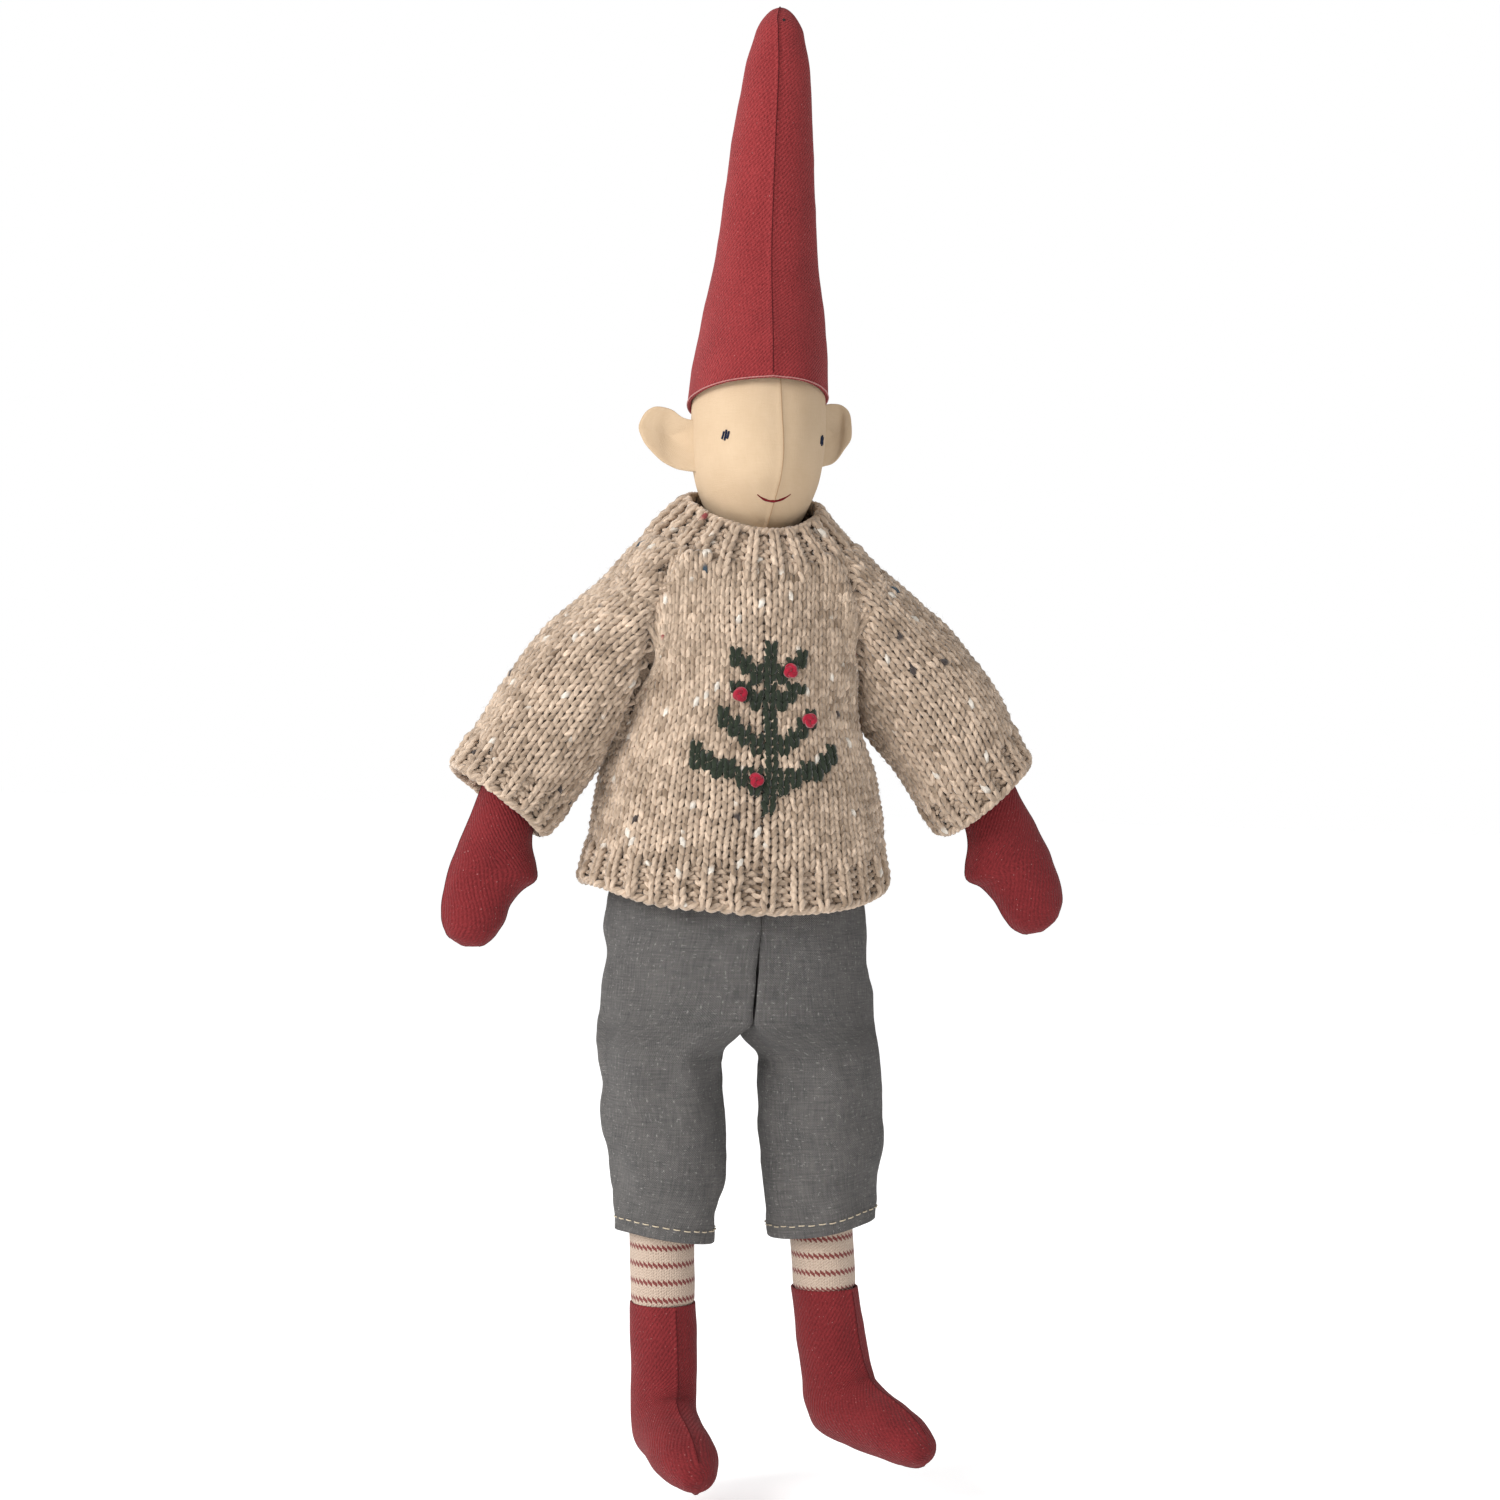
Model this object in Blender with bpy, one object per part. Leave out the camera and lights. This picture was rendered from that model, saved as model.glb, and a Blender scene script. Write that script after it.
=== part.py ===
"""A stuffed cloth pixy doll in a knitted sweater, hanging from the tip of its pointed hat.

Metres, +Z up.  The doll faces -Y and its own left hand is at +X.  The origin is the tip of the
hat, where a thread holds it up, so everything else lies below z = 0.

Every cloth piece is lofted over a list of rings: an ellipse across the piece, given by its place,
its half width and its half depth.  The head carries the torso, the torso carries arms and legs.
"""
from collections import namedtuple
from math import cos, pi, radians, sin, sqrt, tau

import bmesh
import bpy
from mathutils import Euler, Matrix, Vector

# ---- driving dimensions ---------------------------------------------------------------------
GAP = 0.0003                 # clearance between pieces that touch
FELT = 0.0010                # red wool cloth of the hat, mittens and boots
COTTON = 0.0008              # cream cotton skin
LINEN = 0.0009               # grey trousers
KNIT = 0.0024                # thick tweed knitting

HEAD_X = -0.0020             # the head hangs a little to the doll's right of the hat tip
TORSO_X = -0.0050            # and the torso a little more
NECK_Z = -0.1680
SHOULDER_OUT = 0.0370        # shoulder plane from the middle of the torso
SHOULDER_Z = -0.1990
ARMHOLE_RADIUS = 0.0165
HIP_X = -0.0026
HIP_OUT = 0.0248             # hip centre from the middle
HIP_Z = -0.3120

ROUND_SIDES = 20             # sides of a ring on the head and torso
LIMB_SIDES = 16              # sides of a ring on the limbs

OUTWARD = {"right": -1.0, "left": 1.0}
ARM_LEAN = {"right": radians(36.0), "left": radians(43.0)}
ARM_LENGTH = 0.0670          # shoulder to the end of the sleeve
HAND_LEAN = {"right": radians(12.0), "left": radians(21.0)}
LEG_SPLAY = {"right": radians(-2.2), "left": radians(3.8)}
LEG_LENGTH = {"right": 0.0985, "left": 0.0940}      # hip to the top of the boot
LEG_BACK = radians(2.0)      # the legs hang with their weight under the hips
BOOT_TURN = {"right": radians(7.0), "left": radians(33.0)}

# Upright rings, top to bottom: height, half width, half depth, forward shift
HEAD_RINGS = [
    (-0.1010, 0.0080, 0.0085, 0.0),
    (-0.1045, 0.0148, 0.0158, 0.0),
    (-0.1120, 0.0194, 0.0212, 0.0),
    (-0.1240, 0.0210, 0.0245, 0.0005),
    (-0.1360, 0.0220, 0.0262, 0.0015),
    (-0.1460, 0.0216, 0.0262, 0.0015),
    (-0.1530, 0.0202, 0.0234, 0.0010),
    (-0.1590, 0.0170, 0.0188, 0.0015),
    (-0.1645, 0.0134, 0.0136, 0.0005),
    (-0.1700, 0.0112, 0.0112, 0.0),
    (-0.1770, 0.0112, 0.0112, 0.0),
]
BODY_RINGS = [
    (-0.1665, 0.0172, 0.0172, 0.0),
    (-0.1700, 0.0215, 0.0180, 0.0),
    (-0.1760, 0.0285, 0.0200, 0.0),
    (-0.1850, 0.0325, 0.0220, 0.0),
    (-0.2000, 0.0332, 0.0232, 0.0),
    (-0.2220, 0.0332, 0.0240, 0.0),
    (-0.2450, 0.0360, 0.0245, 0.0),
    (-0.2660, 0.0375, 0.0245, 0.0),
    (-0.2830, 0.0365, 0.0238, 0.0),
    (-0.2893, 0.0330, 0.0210, 0.0),
]
SWEATER_RINGS = [
    (-0.1668, 0.0205, 0.0202, 0.0),
    (-0.1700, 0.0244, 0.0210, 0.0),
    (-0.1760, 0.0314, 0.0229, 0.0),
    (-0.1850, 0.0354, 0.0249, 0.0),
    (-0.2000, 0.0362, 0.0262, 0.0),
    (-0.2220, 0.0362, 0.0272, 0.0),
    (-0.2390, 0.0413, 0.0288, 0.0),
    (-0.2600, 0.0455, 0.0306, 0.0),
    (-0.2830, 0.0505, 0.0318, 0.0),
]
SEAT_RINGS = [
    (-0.2600, 0.0388, 0.0262, 0.0),
    (-0.2740, 0.0392, 0.0264, 0.0),
    (-0.2900, 0.0385, 0.0255, 0.0),
]
# Hat, brim to tip: height, half width, half depth, sideways place, rise of the front
HAT_RINGS = [
    (-0.1245, 0.0226, 0.0270, -0.0020, 0.0055),
    (-0.1120, 0.0211, 0.0241, -0.0020, 0.0040),
    (-0.0990, 0.0193, 0.0203, -0.0019, 0.0020),
    (-0.0800, 0.0162, 0.0160, -0.0015, 0.0),
    (-0.0600, 0.0142, 0.0136, -0.0011, 0.0),
    (-0.0400, 0.0126, 0.0120, -0.0008, 0.0),
    (-0.0210, 0.0108, 0.0102, -0.0003, 0.0),
    (-0.0120, 0.0088, 0.0084, 0.0, 0.0),
    (-0.0050, 0.0064, 0.0062, 0.0, 0.0),
    (-0.0014, 0.0038, 0.0037, 0.0, 0.0),
    (0.0, 0.0014, 0.0014, 0.0, 0.0),
]
# Arm, as shares of its length: place, half width, half depth of the sleeve and of the arm in it
SLEEVE_RINGS = [
    (0.00, 0.0235, 0.0170), (0.20, 0.0229, 0.0166), (0.42, 0.0223, 0.0160),
    (0.68, 0.0203, 0.0152), (1.00, 0.0176, 0.0145),
]
ARM_RINGS = [
    (-0.048, 0.0153, 0.0135), (0.03, 0.0153, 0.0135), (0.30, 0.0132, 0.0122),
    (0.60, 0.0112, 0.0105), (0.90, 0.0100, 0.0090),
]
# Mitten below the wrist: distance, half width, half depth, shift towards the body (the thumb)
MITTEN_RINGS = [
    (0.0020, 0.0102, 0.0086, 0.0), (0.0110, 0.0112, 0.0084, 0.0008), (0.0200, 0.0136, 0.0082, 0.0026),
    (0.0270, 0.0116, 0.0082, 0.0004), (0.0370, 0.0108, 0.0078, 0.0), (0.0435, 0.0078, 0.0058, 0.0),
    (0.0468, 0.0030, 0.0026, 0.0),
]
# Leg, below the hip: height, half width, half depth
TROUSER_LEG_RINGS = [
    (0.0165, 0.0118, 0.0118), (0.0100, 0.0176, 0.0176), (0.0, 0.0203, 0.0200),
    (-0.0200, 0.0204, 0.0192), (-0.0450, 0.0205, 0.0182), (-0.0640, 0.0184, 0.0168),
    (-0.0780, 0.0167, 0.0158),
]
STOCKING_RINGS = [
    (0.0160, 0.0042, 0.0042), (0.0125, 0.0108, 0.0108), (0.0060, 0.0154, 0.0154),
    (0.0, 0.0165, 0.0165), (-0.0200, 0.0155, 0.0155), (-0.0450, 0.0125, 0.0128),
    (-0.0700, 0.0104, 0.0108),
]
SOCK_HALF = (0.0101, 0.0105)
# Boot below its top edge: forward, height, pitch in degrees, half thickness, half width
BOOT_RINGS = [
    (0.0, -0.0003, 0, 0.0108, 0.0104), (0.0, -0.0160, 0, 0.0110, 0.0105),
    (0.0005, -0.0285, 14, 0.0120, 0.0109), (0.0026, -0.0385, 42, 0.0142, 0.0116),
    (0.0120, -0.0410, 68, 0.0106, 0.0120), (0.0240, -0.0438, 78, 0.0090, 0.0114),
    (0.0340, -0.0460, 84, 0.0067, 0.0094), (0.0395, -0.0472, 87, 0.0042, 0.0062),
    (0.0415, -0.0478, 88, 0.0016, 0.0026),
]

EAR_OUT, EAR_Z = 0.0296, -0.1373
EAR_HALF = (0.0090, 0.0100)
EAR_THICK = 0.0022
EYE_OUT, EYE_Z = 0.0155, -0.1360
EYE_HALF = (0.0009, 0.0017)
MOUTH_HALF_WIDTH, MOUTH_Z, MOUTH_RISE = 0.0052, -0.1563, 0.0018
THREAD = 0.0005

COLLAR_INNER, COLLAR_OUTER = 0.0213, 0.0238
COLLAR_SIDE_TOP, COLLAR_FRONT_TOP, COLLAR_BOTTOM = -0.1570, -0.1630, -0.1664
TREE_X, TREE_TOP = -0.0025, -0.2024
TREE_LEAN = 0.07             # the trunk runs this far sideways for each metre down
# Fir tree outline: drop from its top, half width
TREE_LEVELS = [
    (0.0, 0.0012), (0.0070, 0.0120), (0.0090, 0.0045), (0.0155, 0.0110), (0.0175, 0.0050),
    (0.0225, 0.0150), (0.0265, 0.0060), (0.0330, 0.0215), (0.0415, 0.0100), (0.0455, 0.0018),
    (0.0545, 0.0018),
]
TREE_COLUMNS = 5
TREE_CLEAR, TREE_THICK = 0.0008, 0.0010
KNOT_RADIUS = 0.0024
KNOTS = [(0.0034, -0.2107), (-0.0129, -0.2184), (0.0101, -0.2257), (-0.0064, -0.2449)]

# ---- materials: colour, roughness ---------------------------------------------------------------
FINISHES = {
    "red_wool": ((0.33, 0.035, 0.045), 0.90),
    "cream_cotton": ((0.78, 0.60, 0.40), 0.85),
    "tweed_knit": ((0.40, 0.31, 0.22), 0.95),
    "grey_linen": ((0.13, 0.125, 0.125), 0.88),
    "striped_jersey": ((0.70, 0.55, 0.41), 0.90),
    "green_yarn": ((0.020, 0.035, 0.020), 0.95),
    "red_yarn": ((0.38, 0.020, 0.040), 0.90),
    "navy_thread": ((0.020, 0.030, 0.080), 0.60),
    "maroon_thread": ((0.180, 0.015, 0.020), 0.65),
    "wadding": ((0.85, 0.83, 0.78), 1.00),
    "elastic": ((0.80, 0.78, 0.72), 0.80),
}

Ring = namedtuple("Ring", "centre across through")    # centre, half-width and half-depth vectors


# ---- building blocks -----------------------------------------------------------------------------
def clear_scene():
    for thing in list(bpy.data.objects):
        bpy.data.objects.remove(thing, do_unlink=True)


def finish(name):
    found = bpy.data.materials.get(name)
    if found:
        return found
    colour, roughness = FINISHES[name]
    made = bpy.data.materials.new(name)
    made.use_nodes = True
    shader = made.node_tree.nodes["Principled BSDF"]
    shader.inputs["Base Color"].default_value = (*colour, 1.0)
    shader.inputs["Roughness"].default_value = roughness
    shader.inputs["Metallic"].default_value = 0.0
    return made


def pivot(name, place, rotation=(0.0, 0.0, 0.0), parent=None):
    """An empty on a joint's axis; place is in its parent's frame."""
    made = bpy.data.objects.new(name, None)
    made.location = place
    made.rotation_euler = rotation
    made.parent = parent
    bpy.context.scene.collection.objects.link(made)
    return made


def piece(name, points, faces, look, parent=None, sharp=radians(40)):
    """One closed body from points and faces, its faces turned to point out."""
    mesh = bpy.data.meshes.new(name)
    work = bmesh.new()
    corners = [work.verts.new(p) for p in points]
    for face in faces:
        work.faces.new([corners[i] for i in face])
    bmesh.ops.recalc_face_normals(work, faces=work.faces)
    work.to_mesh(mesh)
    work.free()
    mesh.shade_smooth()
    mesh.set_sharp_from_angle(angle=sharp)
    mesh.materials.append(finish(look))
    made = bpy.data.objects.new(name, mesh)
    made.parent = parent
    bpy.context.scene.collection.objects.link(made)
    return made


def upright(levels, x, origin=(0.0, 0.0, 0.0)):
    """Rings across a standing form, from (height, half width, half depth, forward shift)."""
    base = Vector(origin)
    return [
        Ring(Vector((x, -forward, z)) - base, Vector((half_w, 0, 0)), Vector((0, -half_d, 0)))
        for z, half_w, half_d, forward in levels
    ]


def ring_row(ring, angles, inset, shift=Vector()):
    """Points around a ring made smaller by inset; the front is at a quarter turn."""
    wide, deep = ring.across.length, ring.through.length
    across = ring.across * ((wide - inset) / wide)
    through = ring.through * ((deep - inset) / deep)
    return [ring.centre + across * cos(a) + through * sin(a) + shift for a in angles]


def around(sides, start=0.0, sweep=tau):
    """Angles of a whole ring, or of an open arc with both its ends."""
    count = sides if sweep == tau else sides + 1
    return [start + sweep * i / sides for i in range(count)]


def pulled_back(rings, end, distance):
    """The rings, the one at that end moved by distance towards its neighbour."""
    moved = list(rings)
    near = moved[1 if end == 0 else -2].centre
    centre = moved[end].centre
    moved[end] = moved[end]._replace(centre=centre + (near - centre).normalized() * distance)
    return moved


def shell(name, rings, wall, look, parent=None, sides=LIMB_SIDES, start=0.0, sweep=tau,
          closed_start=False, closed_end=False, shift=(0, 0, 0)):
    """A cloth wall over the rings: a whole tube or an arc of it, its ends open or closed."""
    angles = around(sides, start, sweep)
    inner_rings = list(rings)
    if closed_start:
        inner_rings = pulled_back(inner_rings, 0, wall)
    if closed_end:
        inner_rings = pulled_back(inner_rings, -1, wall)
    shift = Vector(shift)
    rows, columns = len(rings), len(angles)
    points = [p for ring in rings for p in ring_row(ring, angles, 0.0, shift)]
    points += [p for ring in inner_rings for p in ring_row(ring, angles, wall, shift)]

    def at(row, column, inner=False):
        return (rows if inner else 0) * columns + row * columns + column % columns

    spans = columns if sweep == tau else columns - 1
    faces = []
    for row in range(rows - 1):
        for column in range(spans):
            faces.append([at(row, column), at(row, column + 1), at(row + 1, column + 1), at(row + 1, column)])
            faces.append([at(row, column, True), at(row + 1, column, True),
                          at(row + 1, column + 1, True), at(row, column + 1, True)])
    for row, closed in ((0, closed_start), (rows - 1, closed_end)):
        if closed:
            faces.append([at(row, column) for column in range(columns)])
            faces.append([at(row, column, True) for column in range(columns)])
        else:
            faces += [[at(row, column), at(row, column + 1), at(row, column + 1, True), at(row, column, True)]
                      for column in range(spans)]
    if sweep != tau:
        for column in (0, columns - 1):
            faces += [[at(row, column), at(row + 1, column), at(row + 1, column, True), at(row, column, True)]
                      for row in range(rows - 1)]
        for row, closed in ((0, closed_start), (rows - 1, closed_end)):
            if closed:
                faces.append([at(row, 0), at(row, columns - 1), at(row, columns - 1, True), at(row, 0, True)])
    return piece(name, points, faces, look, parent)


def solid(name, rings, inset, look, parent=None, sides=LIMB_SIDES):
    """A stuffed form over the rings, made smaller all round by inset, with flat ends."""
    angles = around(sides)
    rings = pulled_back(pulled_back(rings, 0, inset), -1, inset)
    points = [p for ring in rings for p in ring_row(ring, angles, inset)]
    faces = [list(range(sides)), [(len(rings) - 1) * sides + i for i in range(sides)]]
    for row in range(len(rings) - 1):
        for i in range(sides):
            here, following = row * sides + i, row * sides + (i + 1) % sides
            faces.append([here, following, following + sides, here + sides])
    return piece(name, points, faces, look, parent)


def halves(names, rings, wall, look, parent=None, sides=LIMB_SIDES, front_back=False, **ends):
    """Two arcs of one shell: its +X and -X halves, or its front and its back, a seam apart."""
    start = 0.0 if front_back else -pi / 2
    away = Vector((0, -GAP / 2, 0)) if front_back else Vector((GAP / 2, 0, 0))
    return [
        shell(name, rings, wall, look, parent, sides // 2, start + pi * k, pi, shift=away * (1 - 2 * k), **ends)
        for k, name in enumerate(names)
    ]


def size_at(levels, z):
    """Half width and half depth of an upright form at a height between its rings."""
    for (z0, w0, d0, *_), (z1, w1, d1, *_) in zip(levels, levels[1:]):
        if z1 <= z <= z0:
            share = (z0 - z) / (z0 - z1)
            return w0 + (w1 - w0) * share, d0 + (d1 - d0) * share
    raise ValueError("no ring spans this height")


def front_of(levels, x, z, middle):
    """The y of an upright form's front at x and z."""
    half_w, half_d = size_at(levels, z)
    return -half_d * sqrt(1 - ((x - middle) / half_w) ** 2)


# ---- head ----------------------------------------------------------------------------------------
def make_hat():
    rings = [
        Ring(Vector((x, 0, z)), Vector((half_w, 0, 0)), Vector((0, -half_d, rise)))
        for z, half_w, half_d, x, rise in HAT_RINGS
    ]
    halves(("hat_left", "hat_right"), rings, FELT, "red_wool", sides=ROUND_SIDES, closed_end=True)
    above_head = [ring for ring in rings if ring.centre.z > HEAD_RINGS[0][0] + 0.001]
    solid("hat_filling", above_head, FELT + GAP, "wadding", sides=ROUND_SIDES)


def make_head():
    rings = upright(HEAD_RINGS, HEAD_X)
    halves(("face_left", "face_right"), rings, COTTON, "cream_cotton", sides=ROUND_SIDES, closed_start=True)
    solid("head_filling", rings, COTTON + GAP, "wadding", sides=ROUND_SIDES)


def make_ear(side):
    """A flap of doubled cloth; its root follows the side of the head."""
    out = OUTWARD[side]
    layers = [(0.5, 0.86), (0.22, 1.0), (-0.22, 1.0), (-0.5, 0.86)]
    angles = around(LIMB_SIDES)
    points = []
    for depth, scale in layers:
        for a in angles:
            z = EAR_Z + EAR_HALF[1] * scale * sin(a)
            x = max(EAR_OUT + EAR_HALF[0] * scale * cos(a), size_at(HEAD_RINGS, z)[0] + GAP)
            points.append((HEAD_X + out * x, depth * EAR_THICK, z))
    faces = [list(range(LIMB_SIDES)), [3 * LIMB_SIDES + i for i in range(LIMB_SIDES)]]
    for layer in range(3):
        for i in range(LIMB_SIDES):
            here, following = layer * LIMB_SIDES + i, layer * LIMB_SIDES + (i + 1) % LIMB_SIDES
            faces.append([here, following, following + LIMB_SIDES, here + LIMB_SIDES])
    piece("ear_" + side, points, faces, "cream_cotton")


def make_eye(side):
    """A few stitches of thread: a small raised oval on the face."""
    x = HEAD_X + OUTWARD[side] * EYE_OUT
    half_w, half_d = size_at(HEAD_RINGS, EYE_Z)
    y = front_of(HEAD_RINGS, x, EYE_Z, HEAD_X) - 0.0015
    normal = Vector(((x - HEAD_X) / half_w ** 2, y / half_d ** 2, 0)).normalized()
    across = Vector((-normal.y, normal.x, 0))
    rings = [
        Ring(Vector((x, y, EYE_Z)) + normal * (GAP + rise), across * EYE_HALF[0] * scale,
             Vector((0, 0, EYE_HALF[1] * scale)))
        for rise, scale in ((0.0, 1.0), (THREAD * 0.6, 1.0), (THREAD, 0.5))
    ]
    solid("eye_" + side, rings, 0.0, "navy_thread", sides=10)


def make_mouth():
    """A line of stitches over the face seam, its ends turned up."""
    steps = 8
    rings = []
    for i in range(steps + 1):
        u = 2 * i / steps - 1
        x = HEAD_X + u * MOUTH_HALF_WIDTH
        z = MOUTH_Z + MOUTH_RISE * u * u
        y = front_of(HEAD_RINGS, x, z, HEAD_X) - 0.0015 - GAP - THREAD
        rings.append(Ring(Vector((x, y, z)), Vector((0, THREAD, 0)), Vector((0, 0, THREAD))))
    solid("mouth", rings, 0.0, "maroon_thread", sides=8)


# ---- torso ---------------------------------------------------------------------------------------
def make_body_bag(neck):
    rings = upright(BODY_RINGS, TORSO_X, neck.location)
    halves(("body_front", "body_back"), rings, COTTON, "cream_cotton", neck, ROUND_SIDES,
           front_back=True, closed_end=True)
    below_neck = [ring for ring in rings if ring.centre.z + NECK_Z < HEAD_RINGS[-1][0] - 0.001]
    solid("body_filling", below_neck, COTTON + GAP, "wadding", neck, ROUND_SIDES)


def make_armhole_cutter(neck):
    turn = Matrix.Rotation(pi / 2, 4, "Y")
    mesh = bpy.data.meshes.new("armhole_cutter")
    work = bmesh.new()
    bmesh.ops.create_cone(work, cap_ends=True, segments=LIMB_SIDES, radius1=ARMHOLE_RADIUS,
                          radius2=ARMHOLE_RADIUS, depth=0.12, matrix=turn)
    work.to_mesh(mesh)
    work.free()
    cutter = bpy.data.objects.new("armhole_cutter", mesh)
    cutter.parent = neck
    cutter.location = Vector((TORSO_X, 0, SHOULDER_Z)) - neck.location
    cutter.hide_render = True
    cutter.display_type = "WIRE"
    bpy.context.scene.collection.objects.link(cutter)
    return cutter


def make_sweater(neck):
    rings = upright(SWEATER_RINGS, TORSO_X, neck.location)
    panels = halves(("sweater_front", "sweater_back"), rings, KNIT, "tweed_knit", neck, ROUND_SIDES,
                    front_back=True)
    cutter = make_armhole_cutter(neck)
    for panel in panels:
        cut = panel.modifiers.new("armholes", "BOOLEAN")
        cut.object = cutter
        cut.solver = "EXACT"


def make_collar(neck):
    """A knitted band round the neck, lower under the chin than at the sides and back."""
    points, faces = [], []
    sides = ROUND_SIDES
    for a in around(sides):
        front = max(0.0, sin(a)) ** 0.6
        top = COLLAR_SIDE_TOP + (COLLAR_FRONT_TOP - COLLAR_SIDE_TOP) * front
        for radius, z in ((COLLAR_INNER, COLLAR_BOTTOM), (COLLAR_INNER, top),
                          (COLLAR_OUTER, top), (COLLAR_OUTER, COLLAR_BOTTOM)):
            points.append(Vector((HEAD_X + radius * cos(a), -radius * sin(a), z)) - neck.location)
    for i in range(sides):
        for k in range(4):
            here, above = 4 * i + k, 4 * i + (k + 1) % 4
            faces.append([here, above, (above + 4) % (4 * sides), (here + 4) % (4 * sides)])
    piece("collar", points, faces, "tweed_knit", neck)


def make_fir_tree(neck):
    """A fir tree worked into the front of the sweater, as a thin raised patch of stitches."""
    points, faces = [], []
    rows = len(TREE_LEVELS)
    for raised in (TREE_CLEAR, TREE_CLEAR + TREE_THICK):
        for drop, half in TREE_LEVELS:
            z = TREE_TOP - drop
            for k in range(TREE_COLUMNS):
                x = TREE_X + TREE_LEAN * drop + half * (2 * k / (TREE_COLUMNS - 1) - 1)
                y = front_of(SWEATER_RINGS, x, z, TORSO_X) - raised
                points.append(Vector((x, y, z)) - neck.location)

    def at(layer, row, column):
        return (layer * rows + row) * TREE_COLUMNS + column

    for row in range(rows - 1):
        for column in range(TREE_COLUMNS - 1):
            for layer in (0, 1):
                faces.append([at(layer, row, column), at(layer, row, column + 1),
                              at(layer, row + 1, column + 1), at(layer, row + 1, column)])
        for column in (0, TREE_COLUMNS - 1):
            faces.append([at(0, row, column), at(0, row + 1, column), at(1, row + 1, column), at(1, row, column)])
    for row in (0, rows - 1):
        for column in range(TREE_COLUMNS - 1):
            faces.append([at(0, row, column), at(0, row, column + 1), at(1, row, column + 1), at(1, row, column)])
    piece("fir_tree", points, faces, "green_yarn", neck)


def make_knots(neck):
    """Four French knots of red yarn on the fir tree."""
    for number, (x, z) in enumerate(KNOTS, 1):
        y = front_of(SWEATER_RINGS, x, z, TORSO_X) - TREE_CLEAR - TREE_THICK - GAP - KNOT_RADIUS
        mesh = bpy.data.meshes.new("red_knot_%d" % number)
        work = bmesh.new()
        bmesh.ops.create_icosphere(work, subdivisions=2, radius=KNOT_RADIUS)
        work.to_mesh(mesh)
        work.free()
        mesh.shade_smooth()
        mesh.materials.append(finish("red_yarn"))
        knot = bpy.data.objects.new(mesh.name, mesh)
        knot.location = Vector((x, y, z)) - neck.location
        knot.parent = neck
        bpy.context.scene.collection.objects.link(knot)


def make_seat(neck):
    """The top of the trousers, in two halves joined at front and back, and its elastic."""
    rings = upright(SEAT_RINGS, TORSO_X, neck.location)
    halves(("trouser_seat_left", "trouser_seat_right"), rings, LINEN, "grey_linen", neck, ROUND_SIDES)
    wall = 0.0010
    band = [(z, SEAT_RINGS[0][1] + GAP + wall + 0.0002, SEAT_RINGS[0][2] + GAP + wall + 0.0002, 0.0)
            for z in (-0.2605, -0.2655)]
    shell("waist_elastic", upright(band, TORSO_X, neck.location), wall, "elastic", neck, ROUND_SIDES)


# ---- arms ----------------------------------------------------------------------------------------
def limb_ring(x, z, lean, half_w, half_d, out):
    """A ring across a limb that leans outward by an angle from straight down."""
    return Ring(Vector((out * x, 0, z)), Vector((out * cos(lean), 0, sin(lean))) * half_w,
                Vector((0, -half_d, 0)))


def along_arm(levels, lean, out):
    """Rings along the arm: the first stands in the shoulder plane, the last squarely across."""
    rings = []
    for share, half_w, half_d in levels:
        eased = min(max(share, 0.0), 1.0)
        tilt = pi / 2 + (lean - pi / 2) * eased * eased * (3 - 2 * eased)
        if share < 0:
            rings.append(limb_ring(share * ARM_LENGTH, 0.0, pi / 2, half_w, half_d, out))
        else:
            reach = share * ARM_LENGTH
            rings.append(limb_ring(reach * sin(lean), -reach * cos(lean), tilt, half_w, half_d, out))
    return rings


def mitten_rings(side):
    lean, hand, out = ARM_LEAN[side], HAND_LEAN[side], OUTWARD[side]
    wrist = 0.935 * ARM_LENGTH
    wrist_x, wrist_z = wrist * sin(lean), -wrist * cos(lean)
    rings = []
    for i, (reach, half_w, half_d, thumb) in enumerate(MITTEN_RINGS):
        tilt = hand + (lean - hand) * max(0.0, 1 - i / 2)
        x = wrist_x + reach * sin(hand) - thumb * cos(hand)
        z = wrist_z - reach * cos(hand) - thumb * sin(hand)
        rings.append(limb_ring(x, z, tilt, half_w, half_d, out))
    return rings


def make_arm(side, neck):
    lean, out = ARM_LEAN[side], OUTWARD[side]
    place = Vector((TORSO_X + out * SHOULDER_OUT, 0, SHOULDER_Z)) - neck.location
    shoulder = pivot("shoulder_pivot_" + side, place, parent=neck)
    shell("sleeve_" + side, along_arm(SLEEVE_RINGS, lean, out), KNIT, "tweed_knit", shoulder)
    arm = along_arm(ARM_RINGS, lean, out)
    shell("arm_skin_" + side, arm, COTTON, "cream_cotton", shoulder, closed_start=True)
    solid("arm_filling_" + side, arm, COTTON + GAP, "wadding", shoulder)
    hand = mitten_rings(side)
    halves(("mitten_front_" + side, "mitten_back_" + side), hand, FELT, "red_wool", shoulder,
           front_back=True, closed_end=True)
    solid("mitten_filling_" + side, hand, FELT + GAP, "wadding", shoulder)


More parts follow.
